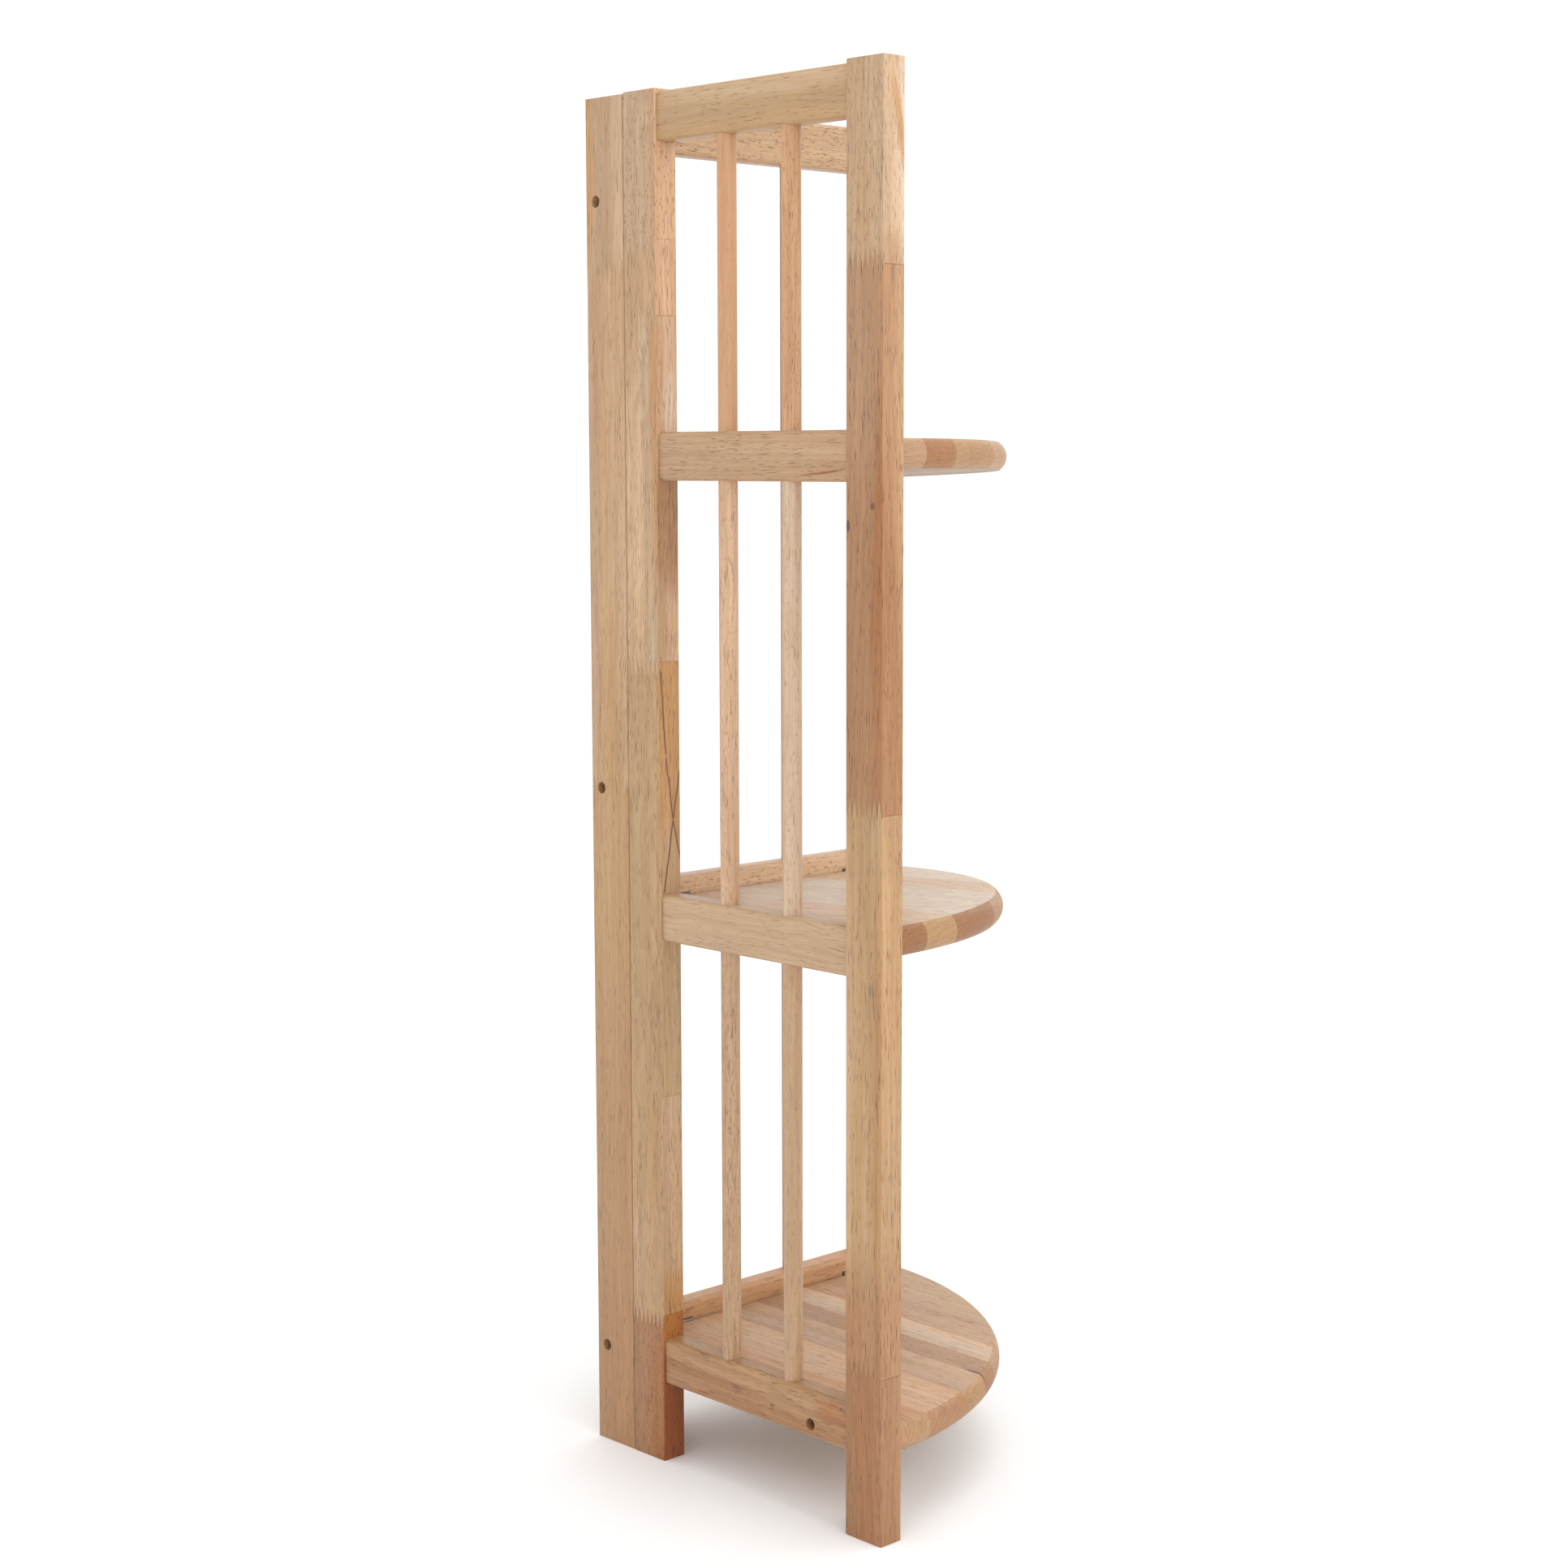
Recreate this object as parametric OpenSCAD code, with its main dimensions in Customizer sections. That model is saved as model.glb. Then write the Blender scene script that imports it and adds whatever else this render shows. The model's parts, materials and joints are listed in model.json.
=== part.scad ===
// Folding corner shelf in millimetres.
// Two ladder frames with spindles meet at a corner strip. Three quarter-round shelves
// hang on butt hinges at the right frame and fold up against it.
// X runs along the left frame, Y along the right frame and Z up.

/* [Overall] */
// Height of the posts
height = 996.5; // [950:0.5:1300]
// Length of each side frame, from the corner to its front edge
side = 300; // [260:5:360]

/* [Posts and corner strip] */
// Width of a post across its face
post_w = 34.5; // [28:0.5:44]
// Thickness of the posts and of the corner strip
stock_t = 20; // [18:0.5:26]
// Rounding of the long edges of posts and strip
post_round = 1.2; // [0.4:0.2:3]
// Easing of the end edges of posts and strip
post_ease = 0.8; // [0.2:0.1:2]
// Gap at the seam where the left frame folds
seam_gap = 0.4; // [0.2:0.1:1]
// Drop of the strip's top below the posts' tops
strip_drop = 1; // [0:0.5:6]

/* [Rails] */
// Height of a rail
rail_h = 34.5; // [32:0.5:50]
// Thickness of a rail, flush with the posts on the inner face
rail_t = 18; // [17:0.5:18]
// Rounding of the long edges of a rail
rail_round = 4; // [1:0.5:6]
// Underside of the bottom rails above the floor
foot_clear = 58.5; // [45:0.5:100]
// Height from one shelf to the next
shelf_pitch = 332.5; // [300:0.5:350]
// Drop of the top rails below the posts' tops
top_drop = 2; // [0:0.5:10]

/* [Spindles] */
// Diameter of a spindle
spindle_d = 13.6; // [8:0.2:14]
// Distance between the two spindles of a bay
spindle_pitch = 64; // [40:1:90]
// Depth of a spindle's end in its rail
spindle_seat = 9; // [5:0.5:12]

/* [Dowels] */
// Diameter of the dowels in the rail ends
dowel_d = 6; // [4:0.5:8]
// Length of a dowel
dowel_l = 30; // [16:1:40]
// Height between the two dowels of a rail end
dowel_pitch = 20; // [16:1:22]
// Radial glue gap round dowels and spindle ends
glue_gap = 0.1; // [0.05:0.05:0.3]

/* [Shelves] */
// Thickness of a shelf
shelf_t = 20; // [18:0.5:24]
// Gap between a shelf's straight edges and the frames
shelf_gap = 1.5; // [1.5:0.1:3]
// How far a shelf stops short of the frames' front edges
shelf_inset = 5; // [2:0.5:30]
// How far a shelf's curved rim bulges out past the edge of its top
shelf_bulge = 5.2; // [1:0.2:8]
// Rounding of a shelf's straight edges, above and below
shelf_ease = 2; // [0.5:0.25:4]
// Upward lean of the upper shelf on its stop, in degrees
upper_lean = 1.9; // [0:0.1:5]
// Upward lean of the middle shelf on its stop, in degrees
middle_lean = 3.2; // [0:0.1:5]
// Upward lean of the bottom shelf on its stop, in degrees
bottom_lean = 0; // [0:0.1:5]

/* [Shelf hinges] */
// Length of a shelf hinge along its pin
hinge_l = 21; // [16:1:40]
// Distance from a post's edge to the nearest shelf hinge
hinge_end = 2.5; // [1:0.5:30]
// Width of a shelf hinge's leaf, from the pin's centre
leaf_w = 12; // [10:0.5:14]
// Thickness of a shelf hinge's leaf
leaf_t = 0.7; // [0.5:0.05:0.7]
// Corner radius of the hinges' leaves
leaf_corner = 2; // [0.5:0.25:3]
// Width of the slit where a rolled knuckle meets its leaf
roll_slit = 0.25; // [0.15:0.05:0.4]
// Diameter of a shelf hinge's barrel
barrel_d = 3.6; // [3.2:0.2:4.4]
// Diameter of a shelf hinge's pin
pin_d = 1.6; // [1.2:0.1:2]
// Diameter of the leaf screws
leaf_screw_d = 2.4; // [1.8:0.1:2.8]
// Head diameter of the leaf screws
leaf_screw_head = 4.2; // [3.4:0.1:4.6]
// Length of the leaf screws
leaf_screw_l = 12; // [8:1:14]
// Distance from the pin's centre to the leaf screws
leaf_screw_drop = 6.5; // [5.5:0.5:7]

/* [Fold hinges] */
// Length of a fold hinge along its pin
fold_l = 30; // [20:1:34]
// Width of a fold hinge's leaf, from the pin's centre
fold_leaf_w = 16; // [14:0.5:18]
// Thickness of a fold hinge's leaf
fold_leaf_t = 1.2; // [0.8:0.1:1.2]
// Diameter of a fold hinge's barrel
fold_barrel_d = 5; // [4.4:0.2:6]
// Diameter of a fold hinge's pin
fold_pin_d = 2.4; // [1.8:0.1:2.6]
// Diameter of the fold hinge's screws
fold_screw_d = 3; // [2.4:0.1:3.4]
// Head diameter of the fold hinge's screws
fold_screw_head = 5.4; // [4.4:0.1:6]
// Length of the fold hinge's screws
fold_screw_l = 14; // [8:1:16]
// Gap between a fold hinge and the shelf above it
fold_drop = 4.6; // [2:0.2:8]

/* [Corner screws] */
// Diameter of the screws that hold the strip to the right rear post
corner_screw_d = 4; // [3:0.5:5]
// Head diameter of the corner screws
corner_screw_head = 7.6; // [6:0.2:8]
// Length of the corner screws
corner_screw_l = 35; // [25:1:42]
// Distance from the strip's outer edge to the corner screws
corner_screw_x = 11; // [8:0.5:14]
// Distance from each end of the posts to the outer corner screws
corner_screw_end = 74; // [30:1:200]

/* [Counterbored holes] */
// Diameter of the counterbores
counterbore_d = 8.6; // [8:0.1:10]
// Depth of the counterbores
counterbore_depth = 8; // [4:0.5:9]
// Diameter of the screw holes below the counterbores
screw_hole_d = 4.5; // [4.2:0.1:6]
// Distance from the left front post to the hole of the locking screw
lock_hole_end = 36.5; // [22:0.5:60]
// Diameter of the locking screw's pilot hole in the bottom shelf
lock_pilot_d = 3; // [2:0.1:4]
// Depth of that pilot hole
lock_pilot_l = 24; // [12:1:40]

/* [Hidden] */

// Smoothness of every round
$fn = 64;
// Segments of a shelf's rim, of a rounded edge, of an eased end and of a small corner
rim_steps = 12;
edge_steps = 8;
end_steps = 3;
corner_steps = 4;
// Overlap of a cutter past the face that it opens
cut = 1;
// Colours of the pale posts, the warmer rails, the spindles and the shelves
post_colour = [0.83, 0.70, 0.53];
strip_colour = [0.80, 0.67, 0.51];
rail_colour = [0.84, 0.69, 0.50];
spindle_colour = [0.82, 0.68, 0.54];
shelf_colour = [0.85, 0.70, 0.51];
dowel_colour = [0.72, 0.56, 0.38];
steel_colour = [0.70, 0.70, 0.68];

// Where a frame's rear post starts, from the corner
strip_w = stock_t + shelf_gap + shelf_t - seam_gap;
left_start = strip_w + seam_gap;
right_start = stock_t;
// The rails' inner faces are flush with the posts', so their centre line is off the posts' own
rail_inset = stock_t - rail_t;
core = rail_inset + rail_t / 2;
// Undersides of the bottom, middle, upper and top rails
rail_z = [
    foot_clear,
    foot_clear + shelf_pitch,
    foot_clear + 2 * shelf_pitch,
    height - top_drop - rail_h
];
BOTTOM = 0;
MIDDLE = 1;
UPPER = 2;
TOP = 3;
// A shelf's corner and reach: its underside is level with its rail's at the hinge line
shelf_corner = stock_t + shelf_gap;
shelf_reach = side - shelf_inset - shelf_corner;
// The shelf hinge's pin lies in the middle of the gap, in the plane of the shelf's top
hinge_x = stock_t + shelf_gap / 2;
hinge_y = [stock_t + post_w + hinge_end, side - post_w - hinge_end - hinge_l];
leaf_gap = shelf_gap - 2 * leaf_t;
leaf_screw_pitch = hinge_l * 0.56;
// Clearance round a barrel, between knuckles, and of a pin in its knuckles
barrel_clear = 0.3;
knuckle_gap = 0.2;
pin_clear = 0.05;
// Clearance round a screw in its hole
screw_clear = 0.05;
knuckles = 5;
// A fold hinge lies just under each shelf, above the reach of the folded shelf below it
fold_x = strip_w + seam_gap / 2;
fold_y = stock_t + fold_barrel_d / 2;
fold_z = [for (tier = [BOTTOM : UPPER]) rail_z[tier] - fold_drop - fold_l];
fold_screw_x = fold_leaf_w * 0.6;
fold_screw_pitch = fold_l * 0.56;
corner_screw_z = [corner_screw_end, height / 2, height - corner_screw_end];
corner_head_h = 2.6;
lock_x = side - post_w - lock_hole_end;
lock_z = rail_z[BOTTOM] + shelf_t / 2;

// Points of an arc of radius r about centre c, from angle a to angle b
function arc(c, r, a, b, steps = edge_steps) = [
    for (i = [0 : steps])
        c + r * [cos(a + (b - a) * i / steps), sin(a + (b - a) * i / steps)]
];

// Outline of a w by h rectangle with rounded corners, its lower left corner at the origin
function rounded(w, h, r, steps = edge_steps) = concat(
    arc([w - r, r], r, -90, 0, steps),
    arc([w - r, h - r], r, 0, 90, steps),
    arc([r, h - r], r, 90, 180, steps),
    arc([r, r], r, 180, 270, steps)
);

// Outline of a hinge leaf of width w and length l, with its free corners rounded
function leaf_outline(w, l, r) = concat(
    [[0, 0]],
    arc([w - r, r], r, -90, 0, corner_steps),
    arc([w - r, l - r], r, 0, 90, corner_steps),
    [[0, l]]
);

// Half section of a shelf from its corner to its rim, an arc of chord t
function shelf_section(reach, t, bulge) =
    let(r = (t * t / 4 + bulge * bulge) / (2 * bulge), half = asin(t / (2 * r)))
    concat([[0, 0]], arc([reach - r, t / 2], r, -half, half, rim_steps), [[0, t]]);

// Half section of a countersunk wood screw, its head's face at 0, grown by a clearance
function screw_section(d, head, l, grow) = [
    [0, 0],
    [head / 2 + grow, 0],
    [d / 2 + grow, (head - d) / 2],
    [d / 2 + grow, l - d + grow],
    [0, l + grow]
];

// Places the whole part with its footprint's centre at the origin
module placed() {
    translate([-side / 2, -side / 2, 0]) children();
}

// Turns a piece of a frame that runs along X into one that runs along Y
module to_right() {
    mirror([1, -1, 0]) children();
}

// Turns a piece of a level shelf up by its lean about the hinge line of that tier
module leaned(tier, lean) {
    translate([hinge_x, 0, rail_z[tier] + shelf_t])
        rotate([0, -lean, 0])
            children();
}

// Cylinder along X
module rod_x(d, l) {
    rotate([0, 90, 0]) cylinder(d = d, h = l);
}

// Cylinder along Y
module rod_y(d, l) {
    rotate([-90, 0, 0]) cylinder(d = d, h = l);
}

module countersunk_screw(d, head, l, grow = 0) {
    rotate_extrude() polygon(screw_section(d, head, l, grow));
}

// Places a child at both dowels of a rail end
module at_dowels(tier) {
    for (k = [-1, 1])
        translate([0, core, rail_z[tier] + rail_h / 2 + k * dowel_pitch / 2])
            children();
}

// An upright board of width w and height h with rounded long edges and eased ends:
// what the three prisms of its section, its front and its side have in common
module eased_board(w, h) {
    intersection() {
        linear_extrude(h) polygon(rounded(w, stock_t, post_round, corner_steps));
        translate([0, stock_t, 0])
            rotate([90, 0, 0]) linear_extrude(stock_t) polygon(rounded(w, h, post_ease, end_steps));
        rotate([90, 0, 90]) linear_extrude(w) polygon(rounded(stock_t, h, post_ease, end_steps));
    }
}

// Distance from the corner to a spindle of a frame whose rear post starts at start
function spindle_at(start, k) = (start + side) / 2 + k * spindle_pitch / 2;

// A post with the blind holes for its rails' dowels, on its front side or on its rear side
module post(x, dowels_in_front) {
    face = dowels_in_front ? x + post_w : x;
    depth = dowel_l / 2 + cut;
    difference() {
        translate([x, 0, 0]) eased_board(post_w, height);
        for (tier = [BOTTOM : TOP])
            at_dowels(tier)
                translate([dowels_in_front ? face - depth : face - cut, 0, 0])
                    rod_x(dowel_d + 2 * glue_gap, depth + cut);
    }
}

// A rail between the posts of a frame, with dowel holes in its ends and spindle holes in its edges
module rail(start, tier) {
    x = start + post_w;
    l = side - post_w - x;
    depth = dowel_l / 2 + cut;
    difference() {
        translate([x, rail_inset, rail_z[tier]])
            rotate([90, 0, 90])
                linear_extrude(l) polygon(rounded(rail_t, rail_h, rail_round));
        at_dowels(tier) {
            translate([x - cut, 0, 0]) rod_x(dowel_d + 2 * glue_gap, depth + cut);
            translate([x + l - depth, 0, 0]) rod_x(dowel_d + 2 * glue_gap, depth + cut);
        }
        for (k = [-1, 1])
            translate([spindle_at(start, k), core, rail_z[tier]]) {
                if (tier != BOTTOM)
                    translate([0, 0, -cut])
                        cylinder(d = spindle_d + 2 * glue_gap, h = spindle_seat + glue_gap + cut);
                if (tier != TOP)
                    translate([0, 0, rail_h - spindle_seat - glue_gap])
                        cylinder(d = spindle_d + 2 * glue_gap, h = spindle_seat + glue_gap + cut);
            }
    }
}

// The two spindles that stand on the rail of a tier
module spindles(start, tier) {
    z = rail_z[tier] + rail_h - spindle_seat;
    l = rail_z[tier + 1] + spindle_seat - z;
    for (k = [-1, 1])
        translate([spindle_at(start, k), core, z]) cylinder(d = spindle_d, h = l);
}

// All the dowels of one frame, half in the rails and half in the posts
module rail_dowels(start) {
    for (tier = [BOTTOM : TOP], x = [start + post_w, side - post_w])
        at_dowels(tier) translate([x - dowel_l / 2, 0, 0]) rod_x(dowel_d, dowel_l);
}

// One leaf of a butt hinge whose pin stands on Z, with the leaf on the side of +X.
// Its plate lies between y and y + t, and it has every second knuckle, from number first.
// Each knuckle is rolled from the plate, and slit where the roll comes back to it at slit_y.
module hinge_leaf(l, w, t, y, slit_y, barrel, bore, first) {
    pitch = (l + knuckle_gap) / knuckles;
    room = barrel / 2 + knuckle_gap;
    difference() {
        union() {
            translate([0, y + t, 0])
                rotate([90, 0, 0]) linear_extrude(t) polygon(leaf_outline(w, l, leaf_corner));
            for (i = [first : 2 : knuckles - 1])
                translate([0, 0, i * pitch]) cylinder(d = barrel, h = pitch - knuckle_gap);
        }
        for (i = [1 - first : 2 : knuckles - 1])
            translate([-room, -room, i * pitch - knuckle_gap])
                cube([2 * room, 2 * room, pitch + knuckle_gap]);
        translate([0, 0, -cut]) cylinder(d = bore, h = l + 2 * cut);
        translate([0, slit_y, -cut]) cube([barrel / 2, roll_slit, l + 2 * cut]);
    }
}

// Places a child in a shelf hinge's own frame: pin on Z, leaves hanging on the side of +X,
// the rail on the side of +Y
module at_shelf_hinges() {
    for (y = hinge_y)
        translate([0, y, 0])
            rotate([-90, 0, 0]) rotate([0, 0, 90])
                children();
}

// The two screws of a shelf hinge's leaf, pointing to +Y for the rail and to -Y for the shelf
module leaf_screw_pair(to_rail, grow = 0) {
    way = to_rail ? 1 : -1;
    for (k = [-1, 1])
        translate([leaf_screw_drop, way * leaf_gap / 2, (hinge_l + k * leaf_screw_pitch) / 2])
            rotate([-90 * way, 0, 0])
                countersunk_screw(leaf_screw_d, leaf_screw_head, leaf_screw_l, grow);
}

module rail_leaf() {
    difference() {
        hinge_leaf(hinge_l, leaf_w, leaf_t, leaf_gap / 2, leaf_gap / 2 - roll_slit,
            barrel_d, pin_d + 2 * pin_clear, 0);
        leaf_screw_pair(true, screw_clear);
    }
}

module shelf_leaf() {
    difference() {
        hinge_leaf(hinge_l, leaf_w, leaf_t, -leaf_gap / 2 - leaf_t, -leaf_gap / 2,
            barrel_d, pin_d + 2 * pin_clear, 1);
        leaf_screw_pair(false, screw_clear);
    }
}

// The square notch that a shelf hinge's barrel lies in, cut in the rail and in the shelf
module barrel_notch() {
    half = barrel_d / 2 + barrel_clear;
    translate([-half, -half, -barrel_clear])
        cube([2 * half, 2 * half, hinge_l + 2 * barrel_clear]);
}

// A rail of the right frame that carries a shelf, in the frame's own direction
module hinged_rail(tier) {
    difference() {
        to_right() rail(right_start, tier);
        leaned(tier, 0)
            at_shelf_hinges() {
                barrel_notch();
                leaf_screw_pair(true, screw_clear);
            }
    }
}

// A quarter-round board with its corner at the origin: what the turned disc and two prisms,
// each with one straight edge's rounding, have in common
module quarter_board() {
    edge = rounded(shelf_reach + shelf_ease, shelf_t, shelf_ease, corner_steps);
    intersection() {
        rotate_extrude(angle = 90) polygon(shelf_section(shelf_reach, shelf_t, shelf_bulge));
        translate([0, shelf_reach, 0]) rotate([90, 0, 0]) linear_extrude(shelf_reach) polygon(edge);
        rotate([90, 0, 90]) linear_extrude(shelf_reach) polygon(edge);
    }
}

// A level quarter-round shelf, placed with the middle of its hinge pins on the Y axis
module shelf_board() {
    difference() {
        translate([shelf_corner - hinge_x, shelf_corner, -shelf_t]) quarter_board();
        at_shelf_hinges() {
            barrel_notch();
            leaf_screw_pair(false, screw_clear);
        }
    }
}

module shelf_leaves() {
    at_shelf_hinges() shelf_leaf();
}

module shelf_screws() {
    at_shelf_hinges() leaf_screw_pair(false);
}

// Places a child at each fold hinge's own frame, pin on Z
module at_fold_hinges() {
    for (z = fold_z)
        translate([fold_x, fold_y, z])
            children();
}

// The two screws of a fold hinge's leaf on the side of +X
module fold_screw_pair(grow = 0) {
    for (k = [-1, 1])
        translate([fold_screw_x, fold_leaf_t - fold_barrel_d / 2, (fold_l + k * fold_screw_pitch) / 2])
            rotate([90, 0, 0])
                countersunk_screw(fold_screw_d, fold_screw_head, fold_screw_l, grow);
}

// A fold hinge's leaf on the side of +X, flat on the inner face of the frame
module fold_leaf(first) {
    difference() {
        hinge_leaf(fold_l, fold_leaf_w, fold_leaf_t, -fold_barrel_d / 2, fold_leaf_t - fold_barrel_d / 2,
            fold_barrel_d, fold_pin_d + 2 * pin_clear, first);
        fold_screw_pair(screw_clear);
    }
}

// A corner screw along +Y, its head's face at the origin
module corner_screw(grow = 0) {
    rotate([-90, 0, 0])
        rotate_extrude()
            polygon([
                [0, 0],
                [corner_screw_head / 2, 0],
                [corner_screw_head / 2, corner_head_h],
                [corner_screw_d / 2 + grow, corner_head_h],
                [corner_screw_d / 2 + grow, corner_screw_l - corner_screw_d + grow],
                [0, corner_screw_l + grow]
            ]);
}

// Places a child at each corner screw's head, on the floor of its counterbore
module at_corner_screws() {
    for (z = corner_screw_z)
        translate([corner_screw_x, counterbore_depth - corner_head_h, z]) children();
}

module corner_strip() {
    color(strip_colour)
        placed()
            difference() {
                eased_board(strip_w, height - strip_drop);
                for (z = corner_screw_z)
                    translate([corner_screw_x, -cut, z]) {
                        rod_y(counterbore_d, counterbore_depth + cut);
                        rod_y(screw_hole_d, stock_t + 2 * cut);
                    }
                at_fold_hinges() mirror([1, 0, 0]) fold_screw_pair(screw_clear);
            }
}

module left_rear_post() {
    color(post_colour)
        placed()
            difference() {
                post(left_start, true);
                at_fold_hinges() fold_screw_pair(screw_clear);
            }
}

module left_front_post() {
    color(post_colour) placed() post(side - post_w, false);
}

module left_top_rail() {
    color(rail_colour) placed() rail(left_start, TOP);
}

module left_upper_rail() {
    color(rail_colour) placed() rail(left_start, UPPER);
}

module left_middle_rail() {
    color(rail_colour) placed() rail(left_start, MIDDLE);
}

// The left bottom rail has the counterbored hole of the screw that locks the rack open
module left_bottom_rail() {
    color(rail_colour)
        placed()
            difference() {
                rail(left_start, BOTTOM);
                translate([lock_x, rail_inset - cut, lock_z]) {
                    rod_y(counterbore_d, counterbore_depth + cut);
                    rod_y(screw_hole_d, rail_t + 2 * cut);
                }
            }
}

module left_upper_spindles() {
    color(spindle_colour) placed() spindles(left_start, UPPER);
}

module left_middle_spindles() {
    color(spindle_colour) placed() spindles(left_start, MIDDLE);
}

module left_lower_spindles() {
    color(spindle_colour) placed() spindles(left_start, BOTTOM);
}

module left_rail_dowels() {
    color(dowel_colour) placed() rail_dowels(left_start);
}

module right_rear_post() {
    color(post_colour)
        placed()
            difference() {
                to_right() post(right_start, true);
                at_corner_screws() corner_screw(screw_clear);
            }
}

module right_front_post() {
    color(post_colour) placed() to_right() post(side - post_w, false);
}

module right_top_rail() {
    color(rail_colour) placed() to_right() rail(right_start, TOP);
}

module right_upper_rail() {
    color(rail_colour) placed() hinged_rail(UPPER);
}

module right_middle_rail() {
    color(rail_colour) placed() hinged_rail(MIDDLE);
}

module right_bottom_rail() {
    color(rail_colour) placed() hinged_rail(BOTTOM);
}

module right_upper_spindles() {
    color(spindle_colour) placed() to_right() spindles(right_start, UPPER);
}

module right_middle_spindles() {
    color(spindle_colour) placed() to_right() spindles(right_start, MIDDLE);
}

module right_lower_spindles() {
    color(spindle_colour) placed() to_right() spindles(right_start, BOTTOM);
}

module right_rail_dowels() {
    color(dowel_colour) placed() to_right() rail_dowels(right_start);
}

module corner_screws() {
    color(steel_colour) placed() at_corner_screws() corner_screw();
}

module fold_hinge_strip_leaves() {
    color(steel_colour) placed() at_fold_hinges() mirror([1, 0, 0]) fold_leaf(0);
}

module fold_hinge_frame_leaves() {
    color(steel_colour) placed() at_fold_hinges() fold_leaf(1);
}

module fold_hinge_pins() {
    color(steel_colour) placed() at_fold_hinges() cylinder(d = fold_pin_d, h = fold_l);
}

module fold_hinge_screws() {
    color(steel_colour)
        placed()
            at_fold_hinges() {
                fold_screw_pair();
                mirror([1, 0, 0]) fold_screw_pair();
            }
}

module upper_shelf() {
    color(shelf_colour) placed() leaned(UPPER, upper_lean) shelf_board();
}

module middle_shelf() {
    color(shelf_colour) placed() leaned(MIDDLE, middle_lean) shelf_board();
}

// The bottom shelf has the pilot hole of the locking screw in its edge
module bottom_shelf() {
    color(shelf_colour)
        placed()
            leaned(BOTTOM, bottom_lean)
                difference() {
                    shelf_board();
                    translate([lock_x - hinge_x, shelf_corner - cut, -shelf_t / 2])
                        rod_y(lock_pilot_d, lock_pilot_l + cut);
                }
}

module shelf_hinge_rail_leaves() {
    color(steel_colour)
        placed()
            for (tier = [BOTTOM : UPPER])
                leaned(tier, 0) at_shelf_hinges() rail_leaf();
}

module shelf_hinge_pins() {
    color(steel_colour)
        placed()
            for (tier = [BOTTOM : UPPER])
                leaned(tier, 0) at_shelf_hinges() cylinder(d = pin_d, h = hinge_l);
}

module shelf_hinge_rail_screws() {
    color(steel_colour)
        placed()
            for (tier = [BOTTOM : UPPER])
                leaned(tier, 0) at_shelf_hinges() leaf_screw_pair(true);
}

module upper_shelf_leaves() {
    color(steel_colour) placed() leaned(UPPER, upper_lean) shelf_leaves();
}

module middle_shelf_leaves() {
    color(steel_colour) placed() leaned(MIDDLE, middle_lean) shelf_leaves();
}

module bottom_shelf_leaves() {
    color(steel_colour) placed() leaned(BOTTOM, bottom_lean) shelf_leaves();
}

module upper_shelf_screws() {
    color(steel_colour) placed() leaned(UPPER, upper_lean) shelf_screws();
}

module middle_shelf_screws() {
    color(steel_colour) placed() leaned(MIDDLE, middle_lean) shelf_screws();
}

module bottom_shelf_screws() {
    color(steel_colour) placed() leaned(BOTTOM, bottom_lean) shelf_screws();
}

corner_strip();
left_rear_post();
left_front_post();
left_top_rail();
left_upper_rail();
left_middle_rail();
left_bottom_rail();
left_upper_spindles();
left_middle_spindles();
left_lower_spindles();
left_rail_dowels();
right_rear_post();
right_front_post();
right_top_rail();
right_upper_rail();
right_middle_rail();
right_bottom_rail();
right_upper_spindles();
right_middle_spindles();
right_lower_spindles();
right_rail_dowels();
corner_screws();
fold_hinge_strip_leaves();
fold_hinge_frame_leaves();
fold_hinge_pins();
fold_hinge_screws();
upper_shelf();
middle_shelf();
bottom_shelf();
shelf_hinge_rail_leaves();
shelf_hinge_pins();
shelf_hinge_rail_screws();
upper_shelf_leaves();
middle_shelf_leaves();
bottom_shelf_leaves();
upper_shelf_screws();
middle_shelf_screws();
bottom_shelf_screws();
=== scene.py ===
"""Folding corner shelf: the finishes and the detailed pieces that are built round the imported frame."""

import json
import logging
import math
from collections.abc import Callable, Iterable, Mapping, Sequence
from dataclasses import dataclass
from enum import Enum
from typing import Any

import bpy
import numpy as np
from mathutils import Matrix, Vector

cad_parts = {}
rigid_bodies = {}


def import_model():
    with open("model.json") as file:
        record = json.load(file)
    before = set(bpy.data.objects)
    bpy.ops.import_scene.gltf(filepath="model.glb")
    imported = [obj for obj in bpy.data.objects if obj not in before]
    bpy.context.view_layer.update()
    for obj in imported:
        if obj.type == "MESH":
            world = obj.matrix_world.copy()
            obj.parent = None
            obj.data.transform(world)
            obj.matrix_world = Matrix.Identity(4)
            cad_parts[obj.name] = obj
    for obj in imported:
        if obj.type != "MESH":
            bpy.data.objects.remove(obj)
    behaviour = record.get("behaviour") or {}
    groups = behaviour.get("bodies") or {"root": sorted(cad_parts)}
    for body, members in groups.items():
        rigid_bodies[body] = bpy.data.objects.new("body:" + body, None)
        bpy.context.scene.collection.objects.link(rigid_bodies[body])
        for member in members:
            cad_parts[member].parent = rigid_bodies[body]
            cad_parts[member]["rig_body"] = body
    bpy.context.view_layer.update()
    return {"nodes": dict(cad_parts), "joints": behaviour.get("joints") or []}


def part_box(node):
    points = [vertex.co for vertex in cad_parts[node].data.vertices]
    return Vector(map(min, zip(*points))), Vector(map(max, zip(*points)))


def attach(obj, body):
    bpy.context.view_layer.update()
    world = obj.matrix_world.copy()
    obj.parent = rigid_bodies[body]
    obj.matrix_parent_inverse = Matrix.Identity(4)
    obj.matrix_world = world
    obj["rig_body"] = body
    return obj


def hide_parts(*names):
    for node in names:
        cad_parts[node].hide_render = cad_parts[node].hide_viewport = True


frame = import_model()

log = logging.getLogger("corner_shelf")

Socket = bpy.types.NodeSocket

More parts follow.
